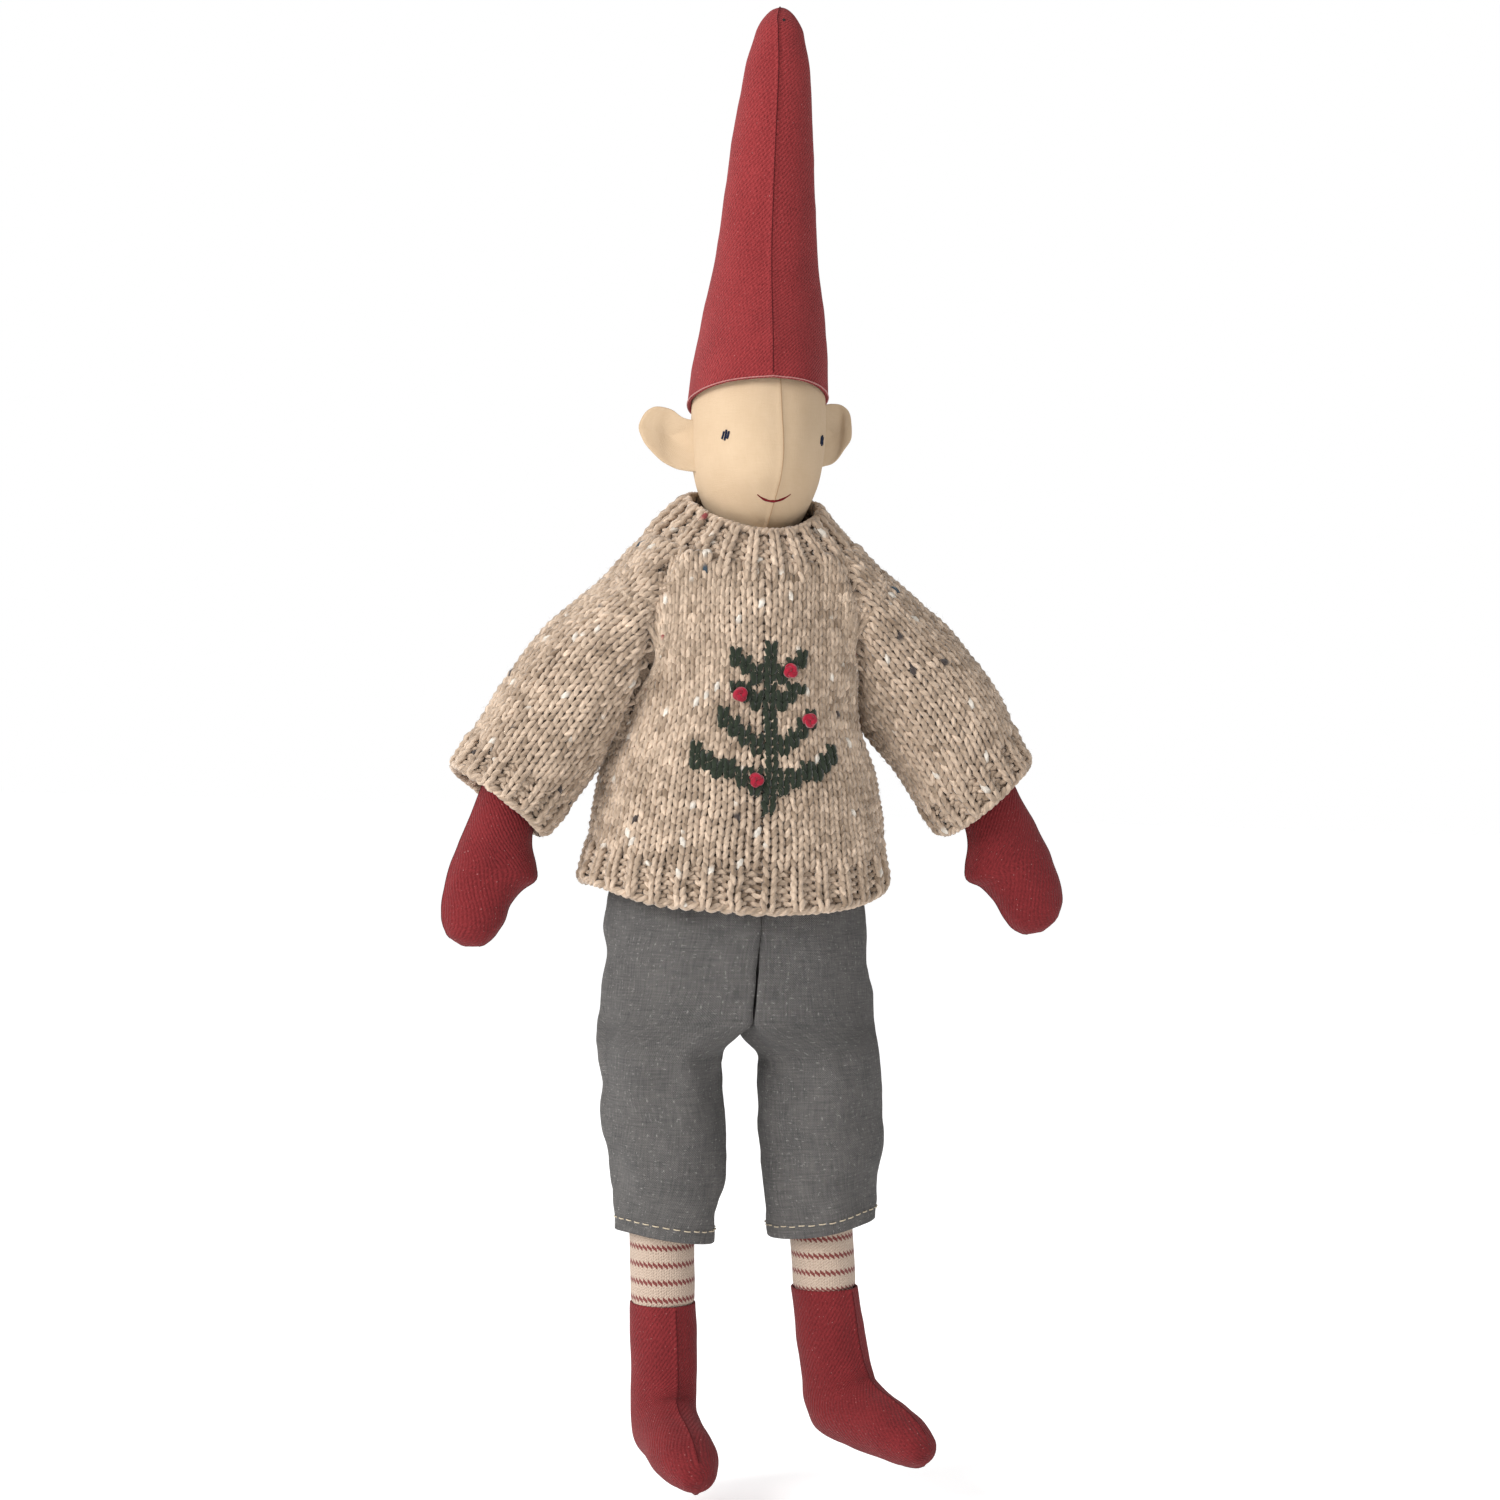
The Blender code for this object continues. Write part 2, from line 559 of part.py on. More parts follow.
# ---- legs ----------------------------------------------------------------------------------------
def make_boot(side, hip):
    """A boot of two halves sewn down the front and under the sole."""
    turn = Matrix.Rotation(BOOT_TURN[side], 3, "Z")
    top = Vector((0, 0, -LEG_LENGTH[side]))
    rings = []
    for forward, z, pitch, half_t, half_w in BOOT_RINGS:
        tilt = radians(pitch)
        rings.append(Ring(top + turn @ Vector((0, -forward, z)), turn @ Vector((half_w, 0, 0)),
                          turn @ Vector((0, -cos(tilt), sin(tilt))) * half_t))
    seam = turn @ Vector((GAP / 2, 0, 0))
    names = ("outer", "inner") if OUTWARD[side] > 0 else ("inner", "outer")
    for k, name in enumerate(names):
        shell("boot_%s_%s" % (name, side), rings, FELT, "red_wool", hip, LIMB_SIDES // 2,
              -pi / 2 + pi * k, pi, closed_end=True, shift=seam * (1 - 2 * k))
    solid("boot_filling_" + side, rings, FELT + GAP, "wadding", hip)


def make_leg(side, neck):
    out = OUTWARD[side]
    place = Vector((HIP_X + out * HIP_OUT, 0, HIP_Z)) - neck.location
    lean = Euler((LEG_BACK, -out * LEG_SPLAY[side], 0.0))
    hip = pivot("hip_pivot_" + side, place, lean, neck)
    stocking = STOCKING_RINGS + [(-LEG_LENGTH[side] + GAP, *SOCK_HALF)]
    leg = upright([(z, w, d, 0.0) for z, w, d in stocking], 0.0)
    cover = upright([(z, w, d, 0.0) for z, w, d in TROUSER_LEG_RINGS], 0.0)
    shell("trouser_leg_" + side, cover, LINEN, "grey_linen", hip)
    shell("stocking_" + side, leg, COTTON, "striped_jersey", hip, closed_start=True)
    solid("leg_filling_" + side, leg, COTTON + GAP, "wadding", hip)
    make_boot(side, hip)


def main():
    clear_scene()
    make_hat()
    make_head()
    make_mouth()
    neck = pivot("neck_pivot", (HEAD_X, 0.0, NECK_Z))
    make_body_bag(neck)
    make_sweater(neck)
    make_collar(neck)
    make_fir_tree(neck)
    make_knots(neck)
    make_seat(neck)
    for side in ("right", "left"):
        make_ear(side)
        make_eye(side)
        make_arm(side, neck)
        make_leg(side, neck)


main()
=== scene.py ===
import math
import random

import bpy
import numpy as np
from mathutils import Matrix, Vector
from mathutils.bvhtree import BVHTree


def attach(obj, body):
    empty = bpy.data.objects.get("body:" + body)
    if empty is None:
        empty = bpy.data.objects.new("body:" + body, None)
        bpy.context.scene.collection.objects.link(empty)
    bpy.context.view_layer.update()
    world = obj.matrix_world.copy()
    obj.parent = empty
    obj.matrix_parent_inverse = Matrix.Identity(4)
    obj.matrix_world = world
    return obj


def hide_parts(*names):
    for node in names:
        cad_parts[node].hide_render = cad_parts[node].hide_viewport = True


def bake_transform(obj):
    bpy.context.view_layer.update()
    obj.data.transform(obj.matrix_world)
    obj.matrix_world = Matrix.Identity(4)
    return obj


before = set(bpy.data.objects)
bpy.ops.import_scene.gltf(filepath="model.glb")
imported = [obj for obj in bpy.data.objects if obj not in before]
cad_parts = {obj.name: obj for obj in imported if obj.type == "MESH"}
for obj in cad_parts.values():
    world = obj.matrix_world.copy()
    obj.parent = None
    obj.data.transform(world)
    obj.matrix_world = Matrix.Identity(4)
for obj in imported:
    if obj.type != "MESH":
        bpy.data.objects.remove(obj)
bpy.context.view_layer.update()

# ---- sizes, in metres; X to the doll's left, Y to its back, Z up, the hat's tip at the origin ----
TAU = 2 * math.pi
OUTWARD = {"right": -1.0, "left": 1.0}
HEAD_X, TORSO_X, HIP_X = -0.0020, -0.0050, -0.0026
SHOULDER_OUT, SHOULDER_Z = 0.0370, -0.1990
HIP_OUT, HIP_Z = 0.0248, -0.3120
ARM_LEAN = {"right": math.radians(36.0), "left": math.radians(43.0)}
HAND_LEAN = {"right": math.radians(14.5), "left": math.radians(26.0)}
ARM_LENGTH = 0.0670
LEG_SPLAY = {"right": math.radians(-2.2), "left": math.radians(3.8)}
LEG_LENGTH = {"right": 0.0985, "left": 0.0940}
LEG_BACK = math.radians(2.0)
BOOT_TURN = {"right": math.radians(7.0), "left": math.radians(33.0)}

# Hat, tip to brim: height, half width, half depth, sideways place, rise of the front
HAT = [
    (0.0, 0.0060, 0.0059, 0.0007, 0.0), (-0.0020, 0.0062, 0.0061, 0.0007, 0.0),
    (-0.0045, 0.0067, 0.0065, 0.0007, 0.0), (-0.0072, 0.0074, 0.0071, 0.0007, 0.0),
    (-0.0104, 0.0081, 0.0078, 0.0006, 0.0), (-0.0166, 0.0097, 0.0094, 0.0005, 0.0),
    (-0.0230, 0.0107, 0.0102, 0.0004, 0.0), (-0.0400, 0.0126, 0.0120, -0.0003, 0.0),
    (-0.0600, 0.0143, 0.0137, -0.0009, 0.0), (-0.0800, 0.0163, 0.0161, -0.0015, 0.0),
    (-0.0990, 0.0194, 0.0205, -0.0019, 0.0020), (-0.1120, 0.0210, 0.0243, -0.0023, 0.0040),
    (-0.1250, 0.0220, 0.0272, -0.0026, 0.0055),
]
SEAM_OFF = 0.0025            # the front seam sits this far to the doll's right
TIP_DEPTH = 0.0085           # over this height the hat rounds off to its tip
# Head: height, half width, depth to the back, depth of the profile at the front
HEAD = [
    (-0.1000, 0.0060, 0.0060, 0.0060), (-0.1040, 0.0145, 0.0150, 0.0150), (-0.1120, 0.0194, 0.0212, 0.0210),
    (-0.1200, 0.0205, 0.0236, 0.0240), (-0.1300, 0.0210, 0.0252, 0.0270), (-0.1380, 0.0208, 0.0252, 0.0294),
    (-0.1450, 0.0202, 0.0247, 0.0300), (-0.1510, 0.0191, 0.0226, 0.0278), (-0.1560, 0.0176, 0.0200, 0.0232),
    (-0.1610, 0.0155, 0.0172, 0.0180), (-0.1660, 0.0128, 0.0132, 0.0134), (-0.1710, 0.0110, 0.0112, 0.0112),
    (-0.1770, 0.0110, 0.0112, 0.0112),
]
# Ear outline, laid flat: distance from the line it's sewn on at, height
EAR = {
    "right": [
        (0.0208, -0.1343), (0.0189, -0.1301), (0.0154, -0.1278), (0.0118, -0.1278), (0.0084, -0.1288),
        (0.0048, -0.1312), (-0.0020, -0.1335), (-0.0040, -0.1415), (-0.0020, -0.1475), (0.0047, -0.1477),
        (0.0097, -0.1458), (0.0135, -0.1434), (0.0185, -0.1388),
    ],
    "left": [
        (0.0169, -0.1296), (0.0152, -0.1256), (0.0107, -0.1237), (0.0055, -0.1240), (0.0010, -0.1255),
        (-0.0030, -0.1290), (-0.0040, -0.1370), (-0.0020, -0.1445), (0.0055, -0.1436), (0.0094, -0.1415),
        (0.0127, -0.1385), (0.0167, -0.1344),
    ],
}
EAR_ROOT, EAR_BACK = 0.0190, math.radians(33.0)     # where an ear is sewn on, and how far it folds back
EAR_HOLLOW = {"right": 0.0017, "left": 0.0042}      # how deep the dent down its middle is
EAR_FACING = {"right": 1.0, "left": -1.0}           # which way round an ear's outline runs
EYE_OUT, EYE_Z = 0.0155, -0.1378
# An eye is three satin stitches side by side: sideways place, half length
EYE_STITCHES = [(-0.00056, 0.0012), (0.0, 0.0017), (0.00056, 0.0012)]
# The smile: height, half width, rise of its ends
SMILE_Z, SMILE_HALF, SMILE_CURVE = -0.1577, 0.0053, 0.0021
NEEDLE_HOLE = (0.0001, -0.0051)
SEAM_THICK, SEAM_SINK = 0.00014, 0.00002            # the dark line of a seam
# Body under the sweater: height, half width, half depth
BODY = [
    (-0.1652, 0.0134, 0.0136), (-0.1672, 0.0158, 0.0155), (-0.1700, 0.0200, 0.0172),
    (-0.1760, 0.0275, 0.0192), (-0.1850, 0.0315, 0.0212), (-0.2000, 0.0322, 0.0224),
    (-0.2220, 0.0322, 0.0232), (-0.2450, 0.0350, 0.0237), (-0.2660, 0.0362, 0.0236),
    (-0.2830, 0.0345, 0.0222), (-0.2870, 0.0300, 0.0190), (-0.2892, 0.0200, 0.0125),
    (-0.2900, 0.0040, 0.0030),
]
# Sweater body: height, half width, half depth
SWEATER = [
    (-0.1560, 0.0215, 0.0205), (-0.1668, 0.0240, 0.0215), (-0.1760, 0.0310, 0.0232),
    (-0.1850, 0.0350, 0.0249), (-0.2000, 0.0362, 0.0264), (-0.2220, 0.0366, 0.0276),
    (-0.2390, 0.0413, 0.0290), (-0.2600, 0.0455, 0.0306), (-0.2830, 0.0497, 0.0316),
    (-0.2950, 0.0505, 0.0318),
]
# The knitting's own width before the raglan shaping: height, half width, half depth
SWEATER_LAY = [(-0.1500, 0.0350, 0.0215), (-0.1668, 0.0355, 0.0222), (-0.1850, 0.0360, 0.0249)] + SWEATER[4:]
# Raglan lines: height, distance from the middle of the torso
RAGLAN = [
    (-0.1500, 0.0165), (-0.1580, 0.0185), (-0.1700, 0.0245), (-0.1860, 0.0318), (-0.2010, 0.0345),
    (-0.2200, 0.0370), (-0.2370, 0.0425), (-0.2450, 0.0468), (-0.2620, 0.0530), (-0.3000, 0.0620),
]
# Sleeves, from the cuff towards the neck: distance, upper edge, lower edge, half depth
SLEEVE = {
    "right": [
        (-0.0020, 0.0176, -0.0176, 0.0150), (0.0060, 0.0180, -0.0180, 0.0152),
        (0.0240, 0.0198, -0.0186, 0.0164), (0.0390, 0.0205, -0.0180, 0.0174),
        (0.0550, 0.0194, -0.0174, 0.0186), (0.0740, 0.0150, -0.0182, 0.0198),
        (0.0910, 0.0136, -0.0182, 0.0207), (0.1150, 0.0098, -0.0190, 0.0210),
        (0.1350, 0.0080, -0.0200, 0.0210),
    ],
    "left": [
        (-0.0020, 0.0182, -0.0178, 0.0150), (0.0060, 0.0196, -0.0180, 0.0152),
        (0.0220, 0.0244, -0.0162, 0.0164), (0.0375, 0.0252, -0.0150, 0.0174),
        (0.0550, 0.0226, -0.0142, 0.0186), (0.0730, 0.0200, -0.0140, 0.0198),
        (0.0915, 0.0174, -0.0160, 0.0207), (0.1080, 0.0155, -0.0180, 0.0210),
        (0.1350, 0.0140, -0.0190, 0.0210),
    ],
}
# Arm under the sleeve: share of its length, half width, half depth
ARM = [
    (-0.048, 0.0148, 0.0130), (0.03, 0.0148, 0.0130), (0.30, 0.0128, 0.0118), (0.60, 0.0108, 0.0101),
    (0.97, 0.0096, 0.0086),
]
# Mitten below the wrist: distance, outer half width, inner half width, half depth
MITTEN = [
    (-0.0080, 0.0080, 0.0082, 0.0078), (0.0000, 0.0088, 0.0090, 0.0084), (0.0090, 0.0102, 0.0100, 0.0087),
    (0.0160, 0.0112, 0.0118, 0.0087), (0.0210, 0.0116, 0.0148, 0.0086), (0.0250, 0.0118, 0.0160, 0.0085),
    (0.0285, 0.0119, 0.0128, 0.0084), (0.0340, 0.0118, 0.0104, 0.0082), (0.0420, 0.0106, 0.0094, 0.0074),
    (0.0470, 0.0080, 0.0072, 0.0058), (0.0497, 0.0046, 0.0042, 0.0034), (0.0508, 0.0008, 0.0008, 0.0008),
]
CUFF_START = {"right": 0.0003, "left": 0.0012}
MITTEN_OUTER = {"right": 0.86, "left": 1.0}     # how wide a mitten's outer side is against the table
WRIST_OUT = {"right": -0.0004, "left": 0.0016}
# Trousers above the crotch: height, half width, half depth, middle
SEAT = [
    (-0.2600, 0.0385, 0.0258, -0.0050), (-0.2750, 0.0392, 0.0262, -0.0046),
    (-0.2900, 0.0416, 0.0266, -0.0036), (-0.3080, 0.0430, 0.0252, -0.0028),
    (-0.3260, 0.0438, 0.0222, -0.0026), (-0.3500, 0.0440, 0.0200, -0.0026),
]
# Trouser legs below the hip: height, sideways shift, half width, half depth
TROUSER_LEG = {
    "right": [
        (0.0600, 0.0, 0.0200, 0.0200), (0.0, 0.0004, 0.0200, 0.0200), (-0.0200, 0.0006, 0.0190, 0.0190),
        (-0.0340, 0.0018, 0.0193, 0.0184), (-0.0470, 0.0024, 0.0198, 0.0182),
        (-0.0600, 0.0031, 0.0188, 0.0174), (-0.0700, 0.0026, 0.0168, 0.0166),
        (-0.0770, 0.0024, 0.0162, 0.0162), (-0.0850, 0.0024, 0.0160, 0.0160),
    ],
    "left": [
        (0.0600, 0.0, 0.0200, 0.0200), (0.0, 0.0006, 0.0204, 0.0200), (-0.0200, 0.0012, 0.0196, 0.0190),
        (-0.0340, 0.0012, 0.0202, 0.0184), (-0.0470, 0.0014, 0.0198, 0.0182),
        (-0.0600, 0.0006, 0.0182, 0.0174), (-0.0700, 0.0010, 0.0166, 0.0166),
        (-0.0770, 0.0014, 0.0162, 0.0162), (-0.0850, 0.0014, 0.0160, 0.0160),
    ],
}
# Where the legs end below the hip
TROUSER_END = {"right": -0.0768, "left": -0.0741}
HEM_TILT = 0.0024            # the outer side of a trouser hem rides higher
CROTCH_Z = -0.3190
TROUSER_TOP = 0.0480         # above the hip
SEAT_TURN = math.radians(128)        # the seat's outside takes this much of the cloth each way round
# Stocking below the hip: height, half width, half depth
STOCKING = [
    (0.0150, 0.0010, 0.0010), (0.0145, 0.0035, 0.0035), (0.0115, 0.0068, 0.0068), (0.0060, 0.0090, 0.0090),
    (0.0, 0.0102, 0.0102), (-0.0200, 0.0122, 0.0122), (-0.0450, 0.0119, 0.0122), (-0.0700, 0.0103, 0.0107),
    (-0.0900, 0.0101, 0.0105), (-0.1050, 0.0098, 0.0101),
]
# Stripes of the stocking: where they start, how far apart and how thick they are, width of a stitch
STRIPE_START = {"right": 0.0005, "left": 0.0030}
STRIPE_SPACING, STRIPE_THICK, JERSEY_STITCH = 0.0055, 0.0012, 0.0017
# Boot below its top edge: share along, forward, height, pitch in degrees, half thickness, half width
BOOT = [
    (0.00, 0.0, 0.0000, 0, 0.0108, 0.0103), (0.16, 0.0, -0.0100, 0, 0.0109, 0.0104),
    (0.30, 0.0, -0.0200, 2, 0.0112, 0.0104), (0.42, 0.0004, -0.0285, 14, 0.0121, 0.0104),
    (0.54, 0.0028, -0.0374, 42, 0.0135, 0.0105), (0.66, 0.0115, -0.0408, 66, 0.0107, 0.0106),
    (0.78, 0.0225, -0.0436, 77, 0.0090, 0.0100), (0.88, 0.0315, -0.0458, 83, 0.0074, 0.0086),
    (0.94, 0.0365, -0.0470, 86, 0.0056, 0.0066), (0.98, 0.0394, -0.0476, 88, 0.0034, 0.0042),
    (1.00, 0.0404, -0.0478, 88, 0.0008, 0.0010),
]
# How far sideways a boot leans away from its leg: share along, shift
BOOT_LEAN = {
    "right": [(0.0, 0.0010), (0.3, 0.0016), (0.6, 0.0004), (1.0, -0.0016)],
    "left": [(0.0, 0.0018), (0.2, 0.0034), (0.4, 0.0050), (0.6, 0.0056), (1.0, 0.0030)],
}
# Neckband: courses below its top, half width, half depth
COLLAR = [
    (-1.0, 0.0204, 0.0184), (0.0, 0.0216, 0.0194), (1.0, 0.0238, 0.0207), (2.0, 0.0264, 0.0219),
    (3.0, 0.0290, 0.0230), (4.0, 0.0311, 0.0238), (5.0, 0.0330, 0.0244), (6.5, 0.0350, 0.0250),
]
COLLAR_TOP, COLLAR_DIP = -0.1548, 0.0128
COLLAR_H = 0.00250
COLLAR_X = -0.0032           # the neckband sits a little to the doll's right
COLLAR_WALES, COLLAR_COURSES = 48, 5

# ---- knitting: a stitch's width and height, yarn, and how far its loop swings -----------------------
STITCH_W, STITCH_H = 0.0034, 0.00268
YARN = 0.00090
LOOP_SWING, LOOP_RISE, LOOP_DEPTH = 0.20, 0.88, 0.00080
LOOP_POINTS, YARN_SIDES = 12, 5           # points of yarn to a stitch, and round the yarn
FIBRES, FIBRE_HALF = 5.5, 0.000035       # loose fibres to a stitch, and half the width of one
FIBRE_COLOUR = (0.75, 0.66, 0.54)
TWEED_LOW, TWEED_HIGH = (0.270, 0.192, 0.132), (0.720, 0.560, 0.425)
FLECKS = 0.060               # to a stitch
# Flecks: colour, share
NEPPS = [((0.80, 0.73, 0.64), 0.68), ((0.80, 0.62, 0.47), 0.16), ((0.07, 0.055, 0.05), 0.11),
         ((0.05, 0.075, 0.10), 0.03), ((0.30, 0.06, 0.06), 0.02)]
BODY_WALES, BODY_COURSES, BODY_TOP = 64, 46, -0.1640
HEM_RIB, CUFF_RIB = 5, 4                  # courses of one-by-one rib
HEM_RISE, HEM_SLANT = 0.0088, 0.0020      # the hem rides up at the sides and back, more on the left
SLEEVE_WALES, SLEEVE_COURSES = 32, 46
TREE_WALE, TREE_COURSE = 26, 14           # the fir tree's first stitch and course
# Fir tree: which of its thirteen stitches are green in each course, from the top
TREE = [
    (6,), (3, 6, 9), (3, 4, 6, 8, 9), (4, 5, 6, 7, 8), (5, 6, 7), (3, 4, 6, 8, 9), (4, 5, 6, 7, 8),
    (5, 6, 7), (2, 6, 10), (2, 3, 6, 9, 10), (3, 4, 6, 8, 9), (4, 5, 6, 7, 8), (0, 5, 6, 7, 12),
    (0, 1, 6, 11, 12), (0, 1, 2, 3, 6, 9, 10, 11), (2, 3, 4, 5, 6, 7, 8, 9, 10), (4, 5, 6, 7, 8), (5, 6, 7),
    (6,), (6,),
]
# French knots: place across, height
KNOTS = [(0.0034, -0.2107), (-0.0129, -0.2184), (0.0101, -0.2257), (-0.0064, -0.2449)]
KNIT_SHAPE = 2.25            # the sweater's cross-section lies between an oval and a box
KNIT_ASPECT = 1.42           # how much wider than deep it is
LINT = (0.62, 0.30, 0.28)
TWILL_PITCH, TWILL_SLANT = 0.0011, 0.62   # rib to rib, and their angle
END_ROWS = 8                 # rows over which dents even out towards a closed end
SKIN = {}                    # each sewn piece's outer skin, as its grid of points

# ---- studio: the sky's strength at the left and right, lights, floor and camera ------------------
SKY_LEFT, SKY_RIGHT = 0.90, 0.50
KEY_PLACE, KEY_SIZE, KEY_POWER = (-1.65, -0.85, 0.60), 1.0, 31.0
BACK_PLACE, BACK_SIZE, BACK_POWER = (-0.6, 1.6, 0.8), 1.2, 4.0
LIT = (0, 0, -0.24)          # where the lights point
FLOOR_HALF, FLOOR_Z, FLOOR_GLOW = 12.0, -0.4715, 0.36
CAMERA_TURN, CAMERA_ROLL, CAMERA_AWAY = math.radians(-15.0), math.radians(1.95), 1.15
CAMERA_TARGET, CAMERA_LENS = (-0.0012, 0.0, -0.2352), 87.2


# ---- numbers ------------------------------------------------------------------------------------
def ease(t):
    t = np.clip(t, 0.0, 1.0)
    return t * t * (3 - 2 * t)


def table(rows, at):
    """Values between the rows of a table without corners; a row is its place, then its values."""
    rows = np.array(sorted(rows), float)
    x, y = rows[:, 0], rows[:, 1:]
    at = np.clip(np.asarray(at, float), x[0], x[-1])
    slope = np.gradient(y, x, axis=0)
    k = np.clip(np.searchsorted(x, at, side="right") - 1, 0, len(x) - 2)
    span = x[k + 1] - x[k]
    t = ((at - x[k]) / span)[..., None]
    span = span[..., None]
    values = ((2 * t**3 - 3 * t**2 + 1) * y[k] + (t**3 - 2 * t**2 + t) * span * slope[k]
              + (3 * t**2 - 2 * t**3) * y[k + 1] + (t**3 - t**2) * span * slope[k + 1])
    return [values[..., i] for i in range(values.shape[-1])]


def lumps(points, size, seed):
    """Smooth noise between -1 and 1 at points, its lumps about size across."""
    p = np.asarray(points, float) / size + 11.3 * seed
    cell = np.floor(p).astype(np.int64)
    f = p - cell
    f = f * f * (3 - 2 * f)
    total = np.zeros(p.shape[:-1])
    for corner in range(8):
        step = np.array([corner & 1, corner >> 1 & 1, corner >> 2 & 1])
        c = cell + step
        h = (c[..., 0] * 73856093) ^ (c[..., 1] * 19349663) ^ (c[..., 2] * 83492791)
        h = (h ^ (seed * 97531)) & 0xFFFFFFFF
        h = ((h ^ (h >> 13)) * 1274126177) & 0xFFFFFFFF
        h = h ^ (h >> 16)
        weight = np.prod(np.where(step == 1, f, 1 - f), axis=-1)
        total += weight * ((h & 0xFFFF) / 32767.5 - 1)
    return total


def unit(v):
    return v / np.maximum(np.linalg.norm(v, axis=-1, keepdims=True), 1e-12)


def stack(x, y, z):
    return np.stack(np.broadcast_arrays(x, y, z), axis=-1)


def angles(columns):
    """Angles round a piece: a quarter turn is its front, nought the doll's left."""
    return TAU * np.arange(columns) / columns


# ---- building meshes ----------------------------------------------------------------------------
def build(name, points, groups, look, uv=None, colour=None):
    """A smooth mesh from points and arrays of faces; uv goes by face corner, colour by point."""
    groups = [np.asarray(g, np.int32) for g in groups if len(g)]
    loops = np.concatenate([g.ravel() for g in groups])
    used, loops = np.unique(loops, return_inverse=True)
    points = np.asarray(points, np.float32).reshape(-1, 3)[used]
    totals = np.concatenate([np.full(len(g), g.shape[1], np.int32) for g in groups])
    starts = np.concatenate([[0], np.cumsum(totals)[:-1]]).astype(np.int32)
    mesh = bpy.data.meshes.new(name)
    mesh.vertices.add(len(points))
    mesh.vertices.foreach_set("co", points.ravel())
    mesh.loops.add(len(loops))
    mesh.loops.foreach_set("vertex_index", loops.astype(np.int32))
    mesh.polygons.add(len(totals))
    mesh.polygons.foreach_set("loop_start", starts)
    mesh.polygons.foreach_set("loop_total", totals)
    mesh.polygons.foreach_set("use_smooth", np.ones(len(totals), bool))
    if uv is not None:
        layer = mesh.uv_layers.new(name="cloth")
        layer.data.foreach_set("uv", np.asarray(uv, np.float32).ravel())
    if colour is not None:
        attribute = mesh.color_attributes.new("dye", "FLOAT_COLOR", "POINT")
        rgba = np.ones((len(points), 4), np.float32)
        rgba[:, :3] = np.asarray(colour, np.float32).reshape(-1, 3)[used]
        attribute.data.foreach_set("color", rgba.ravel())
    mesh.update(calc_edges=True)
    mesh.validate()
    mesh.materials.append(look)
    made = bpy.data.objects.new(name, mesh)
    bpy.context.scene.collection.objects.link(made)
    return made


def net(rows, columns, wrap, keep=None):
    """Quads over a grid of points, and each corner's row and column."""
    i, j = np.meshgrid(np.arange(rows - 1), np.arange(columns if wrap else columns - 1), indexing="ij")
    if keep is not None:
        i, j = i[keep], j[keep]
    i, j = i.ravel(), j.ravel()
    corner_rows = np.stack([i, i, i + 1, i + 1], -1)
    corner_columns = np.stack([j, j + 1, j + 1, j], -1)
    return corner_rows * columns + corner_columns % columns, corner_rows, corner_columns


def off_grid(points):
    """Directions off a closed-round grid of points, rows by columns."""
    around = np.roll(points, -1, 1) - np.roll(points, 1, 1)
    along = np.gradient(points, axis=0)
    return unit(np.cross(around, along))


def fan(row, columns, pole, flip):
    """Triangles from one row of a grid to a pole."""
    ring = row * columns + np.arange(columns)
    made = np.stack([ring, np.roll(ring, -1), np.full(columns, pole)], -1)
    return made[:, ::-1] if flip else made


def dented(points, across, close, rough, seams):
    """Points moved along across: dented by rough, drawn in along seams, round at closed ends."""
    rows, columns = points.shape[:2]
    lift = np.zeros((rows, columns))
    for size, depth, seed in rough:
        lift += depth * lumps(points, size, seed)
    place = np.arange(columns)
    for column, depth, width in seams:
        away = np.abs((place - column + columns / 2) % columns - columns / 2)
        lift -= depth * np.exp(-((away / width) ** 2))[None, :]
    # towards a closed end the dents even out, so the end stays round
    fade = ease(np.arange(END_ROWS) / END_ROWS)[:, None]
    if close[0]:
        lift[:END_ROWS] = lift[END_ROWS].mean() * (1 - fade) + lift[:END_ROWS] * fade
        across[:2] = across[:2].mean(1, keepdims=True)
    if close[1]:
        lift[-END_ROWS:] = lift[-END_ROWS].mean() * (1 - fade[::-1]) + lift[-END_ROWS:] * fade[::-1]
        across[-2:] = across[-2:].mean(1, keepdims=True)
    return points + across * lift[..., None]


def turned_in(grid, wall, depth):
    """A grid with its last edge rolled over and turned in."""
    last = grid[-1]
    middle = last.mean(0)
    inward = unit(middle - last)
    back = unit(grid[-4].mean(0) - middle)
    rim = [last + inward * wall * 0.35 - back * wall * 0.3, last + inward * wall * 0.75 - back * wall * 0.15,
           last + inward * wall + back * wall * 0.5, last + inward * wall + back * depth]
    return np.concatenate([grid, np.array(rim)])


